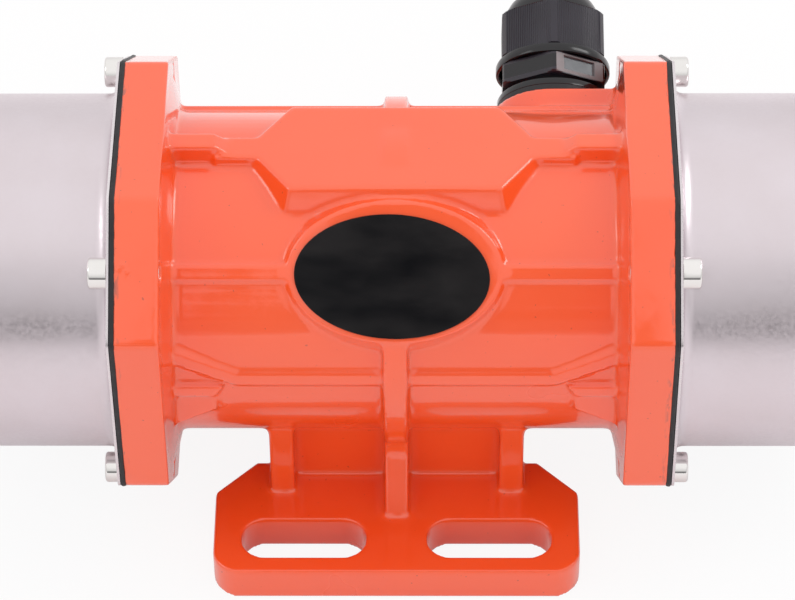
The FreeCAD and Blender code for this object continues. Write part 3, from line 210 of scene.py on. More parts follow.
def metal(name, code, code_other, roughness, grain_mm, bump_mm=0.0, stretch=(1, 1, 1), uneven=0.06):
    """Bare metal: a tone that drifts a little, and a roughness and relief from how it was worked."""
    material, tree, shader, place = new_material(name)
    drift = noise(tree, place, 22, 3)
    grain = noise(tree, place, grain_mm, 2, stretch)
    colour = blend_colours(tree, spread(tree, drift, 0, 1), tint(code), tint(code_other))
    tree.links.new(colour, shader.inputs["Base Color"])
    shader.inputs["Metallic"].default_value = 1.0
    rough = spread(tree, grain, roughness - uneven, roughness + uneven)
    tree.links.new(rough, shader.inputs["Roughness"])
    if bump_mm:
        tree.links.new(raised(tree, grain, bump_mm), shader.inputs["Normal"])
    return material


def soft(name, code, code_other, roughness, grain_mm, bump_mm, ior=1.5):
    """Moulded plastic or rubber: an even body colour under a fine moulded grain."""
    material, tree, shader, place = new_material(name)
    grain = noise(tree, place, grain_mm, 2)
    drift = noise(tree, place, 12, 2)
    colour = blend_colours(tree, spread(tree, drift, 0, 1), tint(code), tint(code_other))
    tree.links.new(colour, shader.inputs["Base Color"])
    tree.links.new(spread(tree, grain, roughness - 0.06, roughness + 0.06), shader.inputs["Roughness"])
    tree.links.new(raised(tree, grain, bump_mm), shader.inputs["Normal"])
    shader.inputs["IOR"].default_value = ior
    return material


def laminations():
    """Stacked electrical steel: fine lines square to the shaft, drawn 1 mm apart so that they show."""
    material, tree, shader, place = new_material("varnished_electrical_steel")
    sheets = add(tree, "ShaderNodeTexWave", {
        "Vector": place, "Scale": 0.3 / MM, "Distortion": 0.6, "Detail": 1.0,
    }, bands_direction="X").outputs["Fac"]
    colour = blend_colours(tree, spread(tree, sheets, 0, 1), tint("5A5C60"), tint("8B8D92"))
    tree.links.new(colour, shader.inputs["Base Color"])
    shader.inputs["Metallic"].default_value = 1.0
    shader.inputs["Roughness"].default_value = 0.42
    tree.links.new(raised(tree, sheets, 0.05), shader.inputs["Normal"])
    return material


def winding():
    """Enamelled copper wire under varnish: round wires side by side along the motor."""
    material, tree, shader, place = new_material("enamelled_copper_wire")
    wires = add(tree, "ShaderNodeTexWave", {
        "Vector": place, "Scale": 0.28 / MM, "Distortion": 3.0, "Detail": 2.0, "Detail Scale": 2.0,
    }, bands_direction="DIAGONAL").outputs["Fac"]
    colour = blend_colours(tree, spread(tree, wires, 0, 1), tint("6B2A12"), tint("C46A35"))
    tree.links.new(colour, shader.inputs["Base Color"])
    shader.inputs["Metallic"].default_value = 0.8
    shader.inputs["Roughness"].default_value = 0.3
    shader.inputs["Coat Weight"].default_value = 0.6
    tree.links.new(raised(tree, wires, 0.3), shader.inputs["Normal"])
    return material


def badge_film():
    """A gloss black label: a smooth dark sheet with a faint uneven sheen, left bare."""
    material, tree, shader, place = new_material("gloss_black_label")
    smear = noise(tree, place, 9, 4, (2.5, 1, 1))
    colour = blend_colours(tree, spread(tree, smear, 0, 1), tint("08080B"), tint("130F10"))
    tree.links.new(colour, shader.inputs["Base Color"])
    tree.links.new(spread(tree, smear, 0.12, 0.24), shader.inputs["Roughness"])
    tree.links.new(raised(tree, smear, 0.01), shader.inputs["Normal"])
    shader.inputs["IOR"].default_value = 1.4
    return material


FINISH = {
    "enamel": enamel(),
    "satin_stainless": metal("satin_stainless_sheet", "D8CDD1", "DDD3D8", 0.34, 1.2, 0.003),
    "sheet_edge": metal("cut_sheet_edge", "E4DDDF", "D8D0D3", 0.3, 0.8),
    "bright_steel": metal("bright_stainless_screw", "E6E3E0", "EDEAE8", 0.08, 2.0, 0.0, uneven=0.03),
    "ground_steel": metal("ground_shaft_steel", "A9ABAE", "B7B9BC", 0.28, 0.8, 0.002, (1, 20, 20)),
    "machined_steel": metal("machined_weight_steel", "8C8D8F", "9B9C9E", 0.38, 1.0, 0.01, (1, 12, 12)),
    "black_oxide": metal("black_oxide_screw", "2E2D30", "3A393C", 0.4, 1.0, 0.004),
    "spring_steel": metal("spring_steel", "6E6F74", "808187", 0.35, 1.0, 0.004),
    "zinc": metal("zinc_plated_screw", "9FA3A6", "ADB0B4", 0.32, 1.2, 0.004),
    "bearing_steel": metal("ground_bearing_steel", "B9BBBE", "C4C6C9", 0.16, 0.8, 0.001, (1, 20, 20), 0.04),
    "ball_steel": metal("polished_ball_steel", "D2D4D6", "DCDEE0", 0.07, 3.0, 0.0, uneven=0.02),
    "cast_aluminium": metal("machined_cast_aluminium", "A8A9AB", "B6B7B8", 0.4, 1.4, 0.02),
    "rotor_aluminium": metal("die_cast_rotor_aluminium", "B2B3B5", "C0C1C2", 0.45, 1.8, 0.04),
    "nylon": soft("textured_black_nylon", "211D26", "2A2630", 0.36, 0.45, 0.03),
    "nylon_smooth": soft("smooth_black_nylon", "111013", "161418", 0.16, 3.0, 0.008),
    "nylon_sandy": soft("sand_blasted_black_nylon", "6E696B", "8A8587", 0.5, 0.35, 0.08),
    # The window floor's bluish grey is a painted reflection of the sky on black nylon, not the nylon's own colour.
    "nylon_window_painted_sky": soft("window_nylon_painted_sky_reflection", "42484E", "4A5056", 0.2, 3.0, 0.01),
    "rubber": soft("black_nitrile_rubber", "0F0D11", "191519", 0.5, 0.9, 0.05, 1.52),
    "lead": soft("insulated_lead", "1D1D1F", "262628", 0.4, 2.0, 0.01),
    "laminations": laminations(),
    "winding": winding(),
    "badge": badge_film(),
}


def dress(thing, *finishes):
    """Give a mesh its finishes, in the order of its material slots.

    Clearing the slots would forget which face has which, so a new mesh isn't cleared.
    """
    if thing.data.materials:
        thing.data.materials.clear()
    for name in finishes:
        thing.data.materials.append(FINISH[name])


CAD_FINISH = {
    "stator_core": "laminations", "rotor_core": "laminations", "stator_winding": "winding",
    "stator_leads": "lead", "wave_spring": "spring_steel", "rotor_shaft": "ground_steel",
    "rotor_cage": "rotor_aluminium", "gland_washer": "rubber", "gland_clamp": "nylon",
    "gland_seal": "rubber", "bearing_shield": "cast_aluminium", "shield_screws": "zinc",
    "bearing_inner_ring": "bearing_steel", "bearing_outer_ring": "bearing_steel",
    "bearing_balls": "ball_steel", "bearing_cage": "spring_steel", "bearing_seals": "rubber",
    "spacer_sleeve": "ground_steel", "weight_key": "ground_steel", "retaining_ring": "black_oxide",
    "fixed_weight": "machined_steel", "adjustable_weight": "machined_steel",
    "weight_clamp_screw": "black_oxide", "housing": "enamel", "badge_plate": "badge",
    "gasket": "rubber", "cover": "satin_stainless", "cover_screws": "bright_steel",
    "gland_body": "nylon", "gland_nut": "nylon",
}
for name, thing in nodes.items():
    stem = name.removesuffix("_left").removesuffix("_right")
    dress(thing, CAD_FINISH[stem])


# ---------------------------------------------------------------- mesh making


def new_piece(name, points, faces, slots=None):
    """A smooth mesh object from points, faces and each face's material slot."""
    mesh = bpy.data.meshes.new(name)
    mesh.from_pydata([tuple(p) for p in points], [], faces)
    mesh.validate()
    mesh.polygons.foreach_set("use_smooth", [True] * len(mesh.polygons))
    if slots is not None:
        mesh.polygons.foreach_set("material_index", slots)
    thing = bpy.data.objects.new(name, mesh)
    bpy.context.scene.collection.objects.link(thing)
    return thing


def skin(rings, closed=True, caps=False, finishes=None, first=0):
    """Points, faces and slots of a skin over loops of equal counts, placed one after another.

    closed joins the last loop to the first; caps fills both ends instead. finishes gives the
    material slot of the strip that starts at each loop.
    """
    rings = np.asarray(rings, float)
    count, around, _ = rings.shape
    faces = []
    slots = []
    for ring in range(count if closed else count - 1):
        here = first + ring * around
        there = first + (ring + 1) % count * around
        for step in range(around):
            after = (step + 1) % around
            faces.append((here + step, here + after, there + after, there + step))
        slots += [finishes[ring] if finishes else 0] * around
    if caps:
        faces.append(tuple(range(first + around - 1, first - 1, -1)))
        faces.append(tuple(range(first + (count - 1) * around, first + count * around)))
        slots += [finishes[0] if finishes else 0, finishes[-1] if finishes else 0]
    return rings.reshape(-1, 3), faces, slots


def arc(centre, radius, start, stop, steps):
    """Points (along, out) on an arc, angles in degrees."""
    turns = np.radians(np.linspace(start, stop, steps + 1))
    return [(centre[0] + radius * math.cos(t), centre[1] + radius * math.sin(t)) for t in turns]


def hardened(thing, degrees=32):
    """Shade smooth across shallow angles only, so that crisp edges stay crisp."""
    thing.data.set_sharp_from_angle(angle=math.radians(degrees))
    return thing


# ---------------------------------------------------------------- casting

CAST_VOXEL = 0.5 * MM
CAST_FACES = 170000
WELD_REACH = 0.01 * MM
# Rounds of smoothing: the first take out the steps of the voxels, the rest fill inside corners.
EVEN_ROUNDS = 3
FILLET_ROUNDS = 15
# Rounds between two looks at where the skin faces.
NORMALS_EVERY = 5
# How far a point goes toward its neighbours' mean in a round: while the steps are taken out, on
# outside edges, in inside corners, and, as a share of these, on machined faces.
EVEN_SHARE = 0.5
EDGE_SHARE = 0.08
FILLET_SHARE = 0.6
MACHINED_SHARE = 0.1
MACHINED_SKIN = 0.7 * MM


def neighbour_mean(points, edges, valence):
    """The mean of each point's neighbours along the mesh's edges."""
    total = np.empty_like(points)
    for axis in range(3):
        ends = points[:, axis]
        total[:, axis] = (
            np.bincount(edges[:, 0], ends[edges[:, 1]], len(points))
            + np.bincount(edges[:, 1], ends[edges[:, 0]], len(points))
        )
    return total / valence[:, None]


def mesh_array(items, name, width, kind):
    """One property of a mesh's vertices, edges or normals, a row for each."""
    values = np.empty(len(items) * width, kind)
    items.foreach_get(name, values)
    return values.reshape(-1, width)


def move_points(mesh, points):
    mesh.vertices.foreach_set("co", points.astype(np.float32).ravel())
    mesh.update()


def evaluated_mesh(thing):
    """The mesh that a piece's modifiers give, as a mesh of its own."""
    graph = bpy.context.evaluated_depsgraph_get()
    graph.update()
    return bpy.data.meshes.new_from_object(thing.evaluated_get(graph))


# The cast blocks that flare toward their foot, in mm: a quarter of the deck's outline at its top
# and at its foot, half sizes of the badge pad's face and how much wider its foot is, the levels of
# top and foot above the motor axis, and how far the pad's middle lies up its slope.
DECK_EDGE = ((28.5, 15.9), (37.3, 4.1))
DECK_FOOT_EDGE = ((30.0, 18.8), (40.2, 5.0))
DECK_LEVELS = (47.9, 40.0)
PAD_HALF = (29.2, 19.15)
PAD_FLARE = 2.6
PAD_LEVELS = (46.0, 39.0)
PAD_UP = 1.2
PAD_TURN = math.radians(46.3)
PAD_STEPS = 72


def four_ways(edge):
    """A whole outline from its corners in one quarter."""
    half = list(edge) + [(x, -y) for x, y in reversed(edge)]
    return np.array(half + [(-x, -y) for x, y in half])


def flared(turn, levels, top, foot):
    """Points and faces of a block square to a direction turned toward the front from upright."""
    way = np.array((0, -math.sin(turn), math.cos(turn)))
    upslope = np.array((0, math.cos(turn), math.sin(turn)))
    across = np.array((1, 0, 0))
    points = np.concatenate([
        edge[:, :1] * across + edge[:, 1:] * upslope + level * way
        for edge, level in zip((top, foot), levels)
    ]) * MM + np.array(AXIS)
    count = len(top)
    faces = [tuple(range(count)), tuple(reversed(range(count, 2 * count)))]
    for index in range(count):
        after = (index + 1) % count
        faces.append((index, count + index, count + after, after))
    return points, faces


def flared_blocks():
    """The deck and the badge pad with the slope that lets the casting leave its mould."""
    turns = np.linspace(0, math.tau, PAD_STEPS, endpoint=False)
    oval = np.stack((np.cos(turns), np.sin(turns)), 1)
    pad, pad_foot = (
        oval * (np.array(PAD_HALF) + grow) + np.array((0, PAD_UP)) for grow in (0, PAD_FLARE)
    )
    yield flared(0, DECK_LEVELS, four_ways(DECK_EDGE), four_ways(DECK_FOOT_EDGE))
    yield flared(PAD_TURN, PAD_LEVELS, pad, pad_foot)


def raw_casting():
    """The CAD housing and its flared blocks as one skin of even voxels."""
    shape = bmesh.new()
    shape.from_mesh(nodes["housing"].data)
    for block, faces in flared_blocks():
        corners = [shape.verts.new(point) for point in block]
        for face in faces:
            shape.faces.new([corners[index] for index in face])
    body = bpy.data.objects.new("motor_casting", bpy.data.meshes.new("motor_casting"))
    shape.to_mesh(body.data)
    shape.free()
    bpy.context.scene.collection.objects.link(body)
    weld = body.modifiers.new("weld", "WELD")
    weld.merge_threshold = WELD_REACH
    voxels = body.modifiers.new("voxels", "REMESH")
    voxels.mode = "VOXEL"
    voxels.voxel_size = CAST_VOXEL
    mesh = evaluated_mesh(body)
    body.modifiers.clear()
    body.data = mesh
    return body


def filleted(mesh):
    """A mesh's points after the smoothing rounds, and where its skin last faced."""
    points = mesh_array(mesh.vertices, "co", 3, np.float32).astype(float)
    edges = mesh_array(mesh.edges, "vertices", 2, np.int32)
    valence = np.bincount(edges.ravel(), minlength=len(points)).astype(float)
    machined_end = np.abs(points[:, 0]) > END_FACE - MACHINED_SKIN
    machined_foot = points[:, 2] < MACHINED_SKIN
    held = np.where(machined_end | machined_foot, MACHINED_SHARE, 1.0)
    for step in range(EVEN_ROUNDS + FILLET_ROUNDS):
        if step % NORMALS_EVERY == 0:
            move_points(mesh, points)
            normals = mesh_array(mesh.vertex_normals, "vector", 3, np.float32).astype(float)
        pull = neighbour_mean(points, edges, valence) - points
        inward_corner = (pull * normals).sum(1) > 0
        share = np.where(inward_corner, FILLET_SHARE, EDGE_SHARE)
        if step < EVEN_ROUNDS:
            share = EVEN_SHARE
        points += pull * (share * held)[:, None]
    return points, normals


# A flange from the motor axis: its level top, its upright front, and where each of them ends.
FLANGE_HALF = 54.7 * MM
FLANGE_SIDE = 56.5 * MM
FLANGE_LEVEL = 26.6 * MM
FLANGE_UPRIGHT = 29.2 * MM
# Small lumps left on the left flange's front corner face: along the motor, share of the way
# down the face, height and width.
PIMPLES = (
    (-72.0 * MM, 0.45, 0.45 * MM, 0.55 * MM),
    (-73.2 * MM, 0.48, 0.3 * MM, 0.4 * MM),
    (-71.2 * MM, 0.49, 0.25 * MM, 0.4 * MM),
)


def facet_point(along, share):
    """A point on the front upper corner face of a flange."""
    y = AXIS.y - FLANGE_LEVEL - (FLANGE_SIDE - FLANGE_LEVEL) * share
    z = AXIS.z + FLANGE_HALF - (FLANGE_HALF - FLANGE_UPRIGHT) * share
    return along, y, z


# The paint's lip at an end face, in mm: how far it creeps out, and the waves it wanders by (count
# around the axis, turn between the two ends, size).
LIP_REACH = 0.5
LIP_WAVES = ((7, 1.3, 0.13), (19, -1, 0.1), (43, 2, 0.07), (77, 0, 0.06))
LIP_WIDTH = 1.2 * MM
LIP_INSIDE = 51 * MM


def paint_lip(points):
    """How far the painted edge of each end face creeps over the gasket; it wanders as it goes."""
    turn = np.arctan2(points[:, 2] - AXIS.z, points[:, 1] - AXIS.y)
    hand = np.sign(points[:, 0])
    wander = LIP_REACH + sum(size * np.sin(waves * turn + shift * hand) for waves, shift, size in LIP_WAVES)
    reach = np.hypot(points[:, 1] - AXIS.y, points[:, 2] - AXIS.z)
    at_rim = np.clip((np.abs(points[:, 0]) - END_FACE + LIP_WIDTH) / LIP_WIDTH, 0, 1)
    return hand * wander * MM * at_rim * (reach > LIP_INSIDE)


def casting():
    """The housing as cast and painted: inside corners filled, outside edges broken, faces cut flat."""
    body = raw_casting()
    mesh = body.data
    points, normals = filleted(mesh)
    points[:, 0] += paint_lip(points)
    for along, share, height, width in PIMPLES:
        away = ((points - np.array(facet_point(along, share))) ** 2).sum(1)
        points += normals * (height * np.exp(-away / (2 * width ** 2)))[:, None]
    move_points(mesh, points)

    thin = body.modifiers.new("thin", "DECIMATE")
    thin.ratio = min(1.0, CAST_FACES / (2 * len(mesh.polygons)))
    body.data = evaluated_mesh(body)
    body.modifiers.clear()
    body.data.polygons.foreach_set("use_smooth", [True] * len(body.data.polygons))
    body.data.update()
    dress(body, "enamel")
    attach(body, "housing")
    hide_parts("housing")


casting()


# ---------------------------------------------------------------- gaskets and covers

AROUND = 288
BEYOND_RIM = 0.09


def rim_outline():
    """The outer edge shared by flange, gasket and cover, as (y, z) points around the motor axis."""
    gasket = nodes["gasket_right"]
    tree = BVHTree.FromPolygons(
        [v.co for v in gasket.data.vertices], [p.vertices for p in gasket.data.polygons]
    )
    low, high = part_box("gasket_right")
    middle = (low.x + high.x) / 2
    found = []
    for step in range(AROUND):
        turn = math.tau * step / AROUND
        way = Vector((0, math.cos(turn), math.sin(turn)))
        hit = tree.ray_cast(Vector((middle, AXIS.y, AXIS.z)) + way * BEYOND_RIM, -way)[0]
        found.append((hit.y - AXIS.y, hit.z - AXIS.z))
    return np.array(found)


RIM = rim_outline()
RIM_REACH = np.hypot(RIM[:, 0], RIM[:, 1])
TURNS = np.arange(AROUND) * math.tau / AROUND
CUP_RADIUS = 49.3 * MM
CUP_SHEET = 0.8 * MM
CUP_ROOT = 3.6 * MM
CUP_CORNER = 8 * MM
# The cup's root seen from inside: how much wider than the cup, and how far along it ends.
CUP_ROOT_WIDER = 1.2 * MM
CUP_ROOT_RISE = 1.5 * MM
# Loops that keep the long smooth faces of a cup flat: radius on its end, reach along its side.
END_LOOP = 12 * MM
SIDE_LOOP = 12 * MM
# How much a cover's edge is broken, out from its rim and down from its face.
EDGE_BREAK = 0.15 * MM
EDGE_BREAK_FACE = 0.12 * MM
EDGE_BREAK_SEAT = 0.05 * MM
# The gasket's edge, in mm: how proud it stands, its waves (count, size), and its bulge from one
# face to the other (share of the thickness, share of how proud it stands).
GASKET_PROUD = 0.28
GASKET_WAVES = ((5, 0.10), (11, 0.09), (23, 0.08), (47, 0.09), (90, 0.07))
GASKET_BULGE = ((0.12, 0.3), (0.35, 0.85), (0.6, 1.0), (0.85, 0.6))
GASKET_INSET = 0.4 * MM
GASKET_SEED = 7


def loop(along, reach):
    """A loop around the motor axis; reach is one radius or one for each direction."""
    reach = np.broadcast_to(reach, AROUND)
    return np.stack([
        np.full(AROUND, along), AXIS.y + reach * np.cos(TURNS), AXIS.z + reach * np.sin(TURNS),
    ], 1)


def gasket(hand, side, seed):
    """A hand-cut rubber sheet squeezed between flange and cover: its edge wanders and bulges."""
    low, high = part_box("gasket_" + hand)
    near, far = sorted((low.x, high.x), key=abs)
    random = np.random.default_rng(seed)
    wander = np.zeros(AROUND)
    for waves, size in GASKET_WAVES:
        wander += size * random.uniform(0.5, 1.0) * np.sin(waves * TURNS + random.uniform(0, math.tau))
    proud = (GASKET_PROUD + wander) * MM
    inner = CUP_RADIUS - CUP_SHEET
    rings = [loop(near, inner), loop(near, RIM_REACH - GASKET_INSET)]
    for share, bulge in GASKET_BULGE:
        rings.append(loop(near + (far - near) * share, RIM_REACH + proud * bulge))
    rings += [loop(far, RIM_REACH - GASKET_INSET), loop(far, inner)]
    thing = new_piece("cover_gasket_" + hand, *skin(rings if side > 0 else rings[::-1]))
    dress(thing, "rubber")
    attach(thing, "housing")
    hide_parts("gasket_" + hand)


def cover(hand, side):
    """A deep-drawn stainless cup on a flat flange, with a soft root and a rounded closed end."""
    low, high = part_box("cover_" + hand)
    seat, end = sorted((abs(low.x), abs(high.x)))
    face = seat + CUP_SHEET
    middle = (end - CUP_CORNER, CUP_RADIUS - CUP_CORNER)
    bare = RIM_REACH - EDGE_BREAK
    outer = [(end, END_LOOP), (end, CUP_RADIUS - CUP_CORNER)]
    outer += arc(middle, CUP_CORNER, 6, 90, 12)
    outer += [(end - CUP_CORNER - SIDE_LOOP, CUP_RADIUS), ((face + end) / 2, CUP_RADIUS)]
    outer += arc((face + CUP_ROOT, CUP_RADIUS + CUP_ROOT), CUP_ROOT, 270, 184, 8)
    inner = [(seat, CUP_RADIUS + CUP_ROOT_WIDER), (seat + CUP_ROOT_RISE, CUP_RADIUS - CUP_SHEET)]
    inner += arc(middle, CUP_CORNER - CUP_SHEET, 90, 6, 8)
    inner += [(end - CUP_SHEET, CUP_RADIUS - CUP_CORNER), (end - CUP_SHEET, END_LOOP)]
    rings = [loop(side * x, r) for x, r in outer]
    edge_at = len(rings)
    rings += [loop(side * face, bare), loop(side * (face - EDGE_BREAK_FACE), RIM_REACH),
              loop(side * (seat + EDGE_BREAK_SEAT), RIM_REACH), loop(side * seat, bare)]
    rings += [loop(side * x, r) for x, r in inner]
    finishes = [0] * len(rings)
    finishes[edge_at:edge_at + 3] = [1, 1, 1]
    if side > 0:
        # A strip's finish goes with the loop it starts at, so the turned list moves by one.
        rings = rings[::-1]
        finishes = finishes[-2::-1] + [0]
    thing = new_piece("drawn_cover_" + hand, *skin(rings, closed=False, caps=True, finishes=finishes))
    hardened(thing)
    dress(thing, "satin_stainless", "sheet_edge")
    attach(thing, "housing")
    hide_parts("cover_" + hand)


for hand, side in SIDES:
    gasket(hand, side, GASKET_SEED + side)
    cover(hand, side)


# ---------------------------------------------------------------- screws

HEAD_RADIUS = 4.25 * MM
HEAD_TALL = 5.0 * MM
SOCKET_ACROSS = 4.0 * MM
SOCKET_DEEP = 2.5 * MM
SHANK_RADIUS = 2.45 * MM
TIP_CHAMFER = 0.4 * MM
HEAD_ROUNDING = 0.75 * MM
# How much wider the socket is at the head's face, and how deep that chamfer goes.
SOCKET_WIDER = 0.25 * MM
SOCKET_CHAMFER = 0.12 * MM
SCREW_AROUND = 60


def hex_reach(turn, across):
    """Distance from the middle of a hexagon to its side, in a direction."""
    return across / 2 / math.cos((turn + math.pi / 6) % (math.pi / 3) - math.pi / 6)


def cap_screws(hand, side):
    """Four bright cap screws with turned heads and hexagon sockets, as one piece."""
    low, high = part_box("cover_screws_" + hand)
    reach = (high.y - low.y) / 2 - HEAD_RADIUS
    tip, top = sorted((abs(low.x), abs(high.x)))
    seat = top - HEAD_TALL
    profile = [(tip, SHANK_RADIUS - TIP_CHAMFER), (tip + TIP_CHAMFER, SHANK_RADIUS)]
    profile += [(seat, SHANK_RADIUS), (seat, HEAD_RADIUS)]
    profile += arc((top - HEAD_ROUNDING, HEAD_RADIUS - HEAD_ROUNDING), HEAD_ROUNDING, 90, 0, 6)
    socket = (
        (top, SOCKET_ACROSS + SOCKET_WIDER), (top - SOCKET_CHAMFER, SOCKET_ACROSS),
        (top - SOCKET_DEEP, SOCKET_ACROSS),
    )
    turns = [math.tau * step / SCREW_AROUND for step in range(SCREW_AROUND)]
    reaches = [(x, [radius] * SCREW_AROUND) for x, radius in profile]
    reaches += [(x, [hex_reach(turn, across) for turn in turns]) for x, across in socket]
    points = np.empty((0, 3))
    faces = []
    for y, z in ((reach, reach), (-reach, reach), (-reach, -reach), (reach, -reach)):
        rings = [
            [(side * x, y + r * math.cos(t), AXIS.z + z + r * math.sin(t)) for r, t in zip(row, turns)]
            for x, row in reaches
        ]
        more, new_faces, _ = skin(rings if side < 0 else rings[::-1], False, True, first=len(points))
        points = np.vstack([points, more])
        faces += new_faces
    thing = hardened(new_piece("cap_screws_" + hand, points, faces))
    dress(thing, "bright_steel")
    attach(thing, "housing")
    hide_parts("cover_screws_" + hand)


for hand, side in SIDES:
    cap_screws(hand, side)


# ---------------------------------------------------------------- cable gland

# Sizes of the gland are in mm. Heights run along it from the motor axis.
ENTRY_HEIGHT = 70.5
GLAND_WAY = Vector(mounts["cable_entry"]["axis"]).normalized()
GLAND_ORIGIN = Vector(mounts["cable_entry"]["pos_m"]) - GLAND_WAY * ENTRY_HEIGHT * MM
GLAND_SIDE = Vector((1, 0, 0))
GLAND_DOWN = GLAND_WAY.cross(GLAND_SIDE)

# Heights of its steps.
THREAD_FOOT = 39.5
WASHER_TOP = 50.2
COLLAR_TOP = 52.3
HEX_START = 54.0
HEX_TOP = 60.5
SKIRT_TOP = 63.2
TUBE_TOP = 67.5
NUT_TOP = 77.2
DOME_TOP = 83.0
# Radii.
GLAND_BORE = 9.5
BODY_THREAD = 12.48
NUT_THREAD = 12.55
NECK = 13.4
COLLAR = 16.0
SKIRT = 16.3
HEX_CORNER = 16.14
# The hexagon: its width across flats, the cut of its corners, and the nut's fine ribs.
ACROSS = 28.96
CORNER_FLAT = 2.1
RIB_PITCH = 0.6
RIB_DEEP = 0.22
RIB_STEPS = 4
SIDE_HALF = ACROSS / 2 * math.tan(math.pi / 6) - CORNER_FLAT / math.sqrt(3) / 2
# The window sunk in one side of the body's hexagon.
WINDOW_SHIFT = 0.2
WINDOW_HALF = 5.0
WINDOW_DEEP = 0.7
WINDOW_BOTTOM = HEX_START + 1.4
WINDOW_TOP = HEX_START + 5.6
WINDOW_WALL = 0.05
WINDOW_FLOOR_INSET = 0.3
# Sides are counted from the one that looks along +X; the last one looks to the front right.
WINDOW_FACET = 5


def hexagon(rib_deep=0.0, window=0.0):
    """Points (x, down) in mm of a hexagon with cut corners, as offsets along each side.

    rib_deep cuts fine ribs along each side; window sinks the middle of the side that looks to
    the front right.
    """
    steps = int(round(2 * SIDE_HALF / RIB_PITCH)) * RIB_STEPS
    along = np.linspace(-SIDE_HALF, SIDE_HALF, steps + 1)
    ribbed = np.abs(along) < SIDE_HALF - RIB_PITCH
    groove = rib_deep * (0.5 - 0.5 * np.cos(math.tau * (along + SIDE_HALF) / RIB_PITCH)) * ribbed
    points = []
    for facet in range(6):
        turn = math.radians(60 * facet)
        normal = np.array((math.cos(turn), math.sin(turn)))
        tangent = np.array((-math.sin(turn), math.cos(turn)))
        sunk = window * (np.abs(along + WINDOW_SHIFT) < WINDOW_HALF) if facet == WINDOW_FACET else 0.0
        reach = ACROSS / 2 - groove - sunk
        points.append(reach[:, None] * normal + along[:, None] * tangent)
    return np.vstack(points)


PLAIN = hexagon()
RIBBED = hexagon(RIB_DEEP)
DIRECTIONS = PLAIN / np.hypot(PLAIN[:, 0], PLAIN[:, 1])[:, None]


def gland_ring(height, shape):
    """A loop of the gland at a height in mm; shape is a radius or the loop's own points."""
    flat = DIRECTIONS * shape if np.isscalar(shape) else shape
    base = GLAND_ORIGIN + GLAND_WAY * (height * MM)
    return (
        np.array(base)[None]
        + flat[:, :1] * MM * np.array(GLAND_SIDE)[None]
        + flat[:, 1:] * MM * np.array(GLAND_DOWN)[None]
    )


def within(shape, radius):
    """A shape cut back to a circle."""
    reach = np.hypot(shape[:, 0], shape[:, 1])
    return shape * np.minimum(1, radius / reach)[:, None]


# Slots of the gland's finishes.
TEXTURED, SMOOTH, SANDY, GLASSY_PAINTED_SKY = range(4)


def gland_skin(stations):
    """Points, faces and slots over stations: each a height, a radius or outline, and a slot."""
    rings = [gland_ring(height, shape) for height, shape, _ in stations]
    points, faces, slots = skin(rings, closed=True, finishes=[slot for _, _, slot in stations])
    return points, [face[::-1] for face in faces], slots


def gland_body():
    """Moulded entry body: a smooth collar, a neck, and a hexagon with one sunk, sandy-edged window; its floor's
    bluish grey is a painted sky reflection.
    """
    windowed = hexagon(0.0, WINDOW_DEEP)
    below = [
        (THREAD_FOOT, GLAND_BORE, TEXTURED), (THREAD_FOOT, BODY_THREAD, TEXTURED),
        (WASHER_TOP, BODY_THREAD, TEXTURED), (WASHER_TOP, COLLAR - 0.2, SMOOTH),
        (WASHER_TOP + 0.2, COLLAR, SMOOTH), (COLLAR_TOP - 0.5, COLLAR, SMOOTH),
        (COLLAR_TOP - 0.15, COLLAR - 0.15, SMOOTH), (COLLAR_TOP, COLLAR - 0.5, SMOOTH),
        (COLLAR_TOP, NECK, SMOOTH), (HEX_START, NECK, TEXTURED),
        (HEX_START, within(PLAIN, COLLAR - 0.5), TEXTURED),
        (HEX_START + 0.3, within(PLAIN, COLLAR), TEXTURED), (HEX_START + 0.6, PLAIN, TEXTURED),
        (WINDOW_BOTTOM - WINDOW_WALL, PLAIN, TEXTURED),
    ]
    above = [
        (WINDOW_BOTTOM, windowed, SMOOTH), (WINDOW_TOP, windowed, TEXTURED),
        (WINDOW_TOP + WINDOW_WALL, PLAIN, TEXTURED), (HEX_TOP - 0.3, PLAIN, TEXTURED),
        (HEX_TOP, within(PLAIN, COLLAR - 0.2), TEXTURED), (HEX_TOP, BODY_THREAD, TEXTURED),
        (TUBE_TOP, BODY_THREAD, TEXTURED), (TUBE_TOP, GLAND_BORE, TEXTURED),
    ]
    points, faces, slots = gland_skin(below + above)
    floor_strip = len(below)
    per_side = len(PLAIN) // 6
    across = np.linspace(-SIDE_HALF, SIDE_HALF, per_side)
    # The strips round the window take the sandy finish; its floor takes the finish whose bluish grey is a painted
    # sky reflection.
    for strip in range(floor_strip - 3, floor_strip + 3):
        for step in range(per_side - 1):
            inside = abs(across[step] + WINDOW_SHIFT) < WINDOW_HALF - WINDOW_FLOOR_INSET
            floor = strip == floor_strip and inside
            slots[strip * len(PLAIN) + WINDOW_FACET * per_side + step] = GLASSY_PAINTED_SKY if floor else SANDY
    thing = hardened(new_piece("gland_entry_body", points, faces, slots))
    dress(thing, "nylon", "nylon_smooth", "nylon_sandy", "nylon_window_painted_sky")
    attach(thing, "housing")
    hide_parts("gland_body")


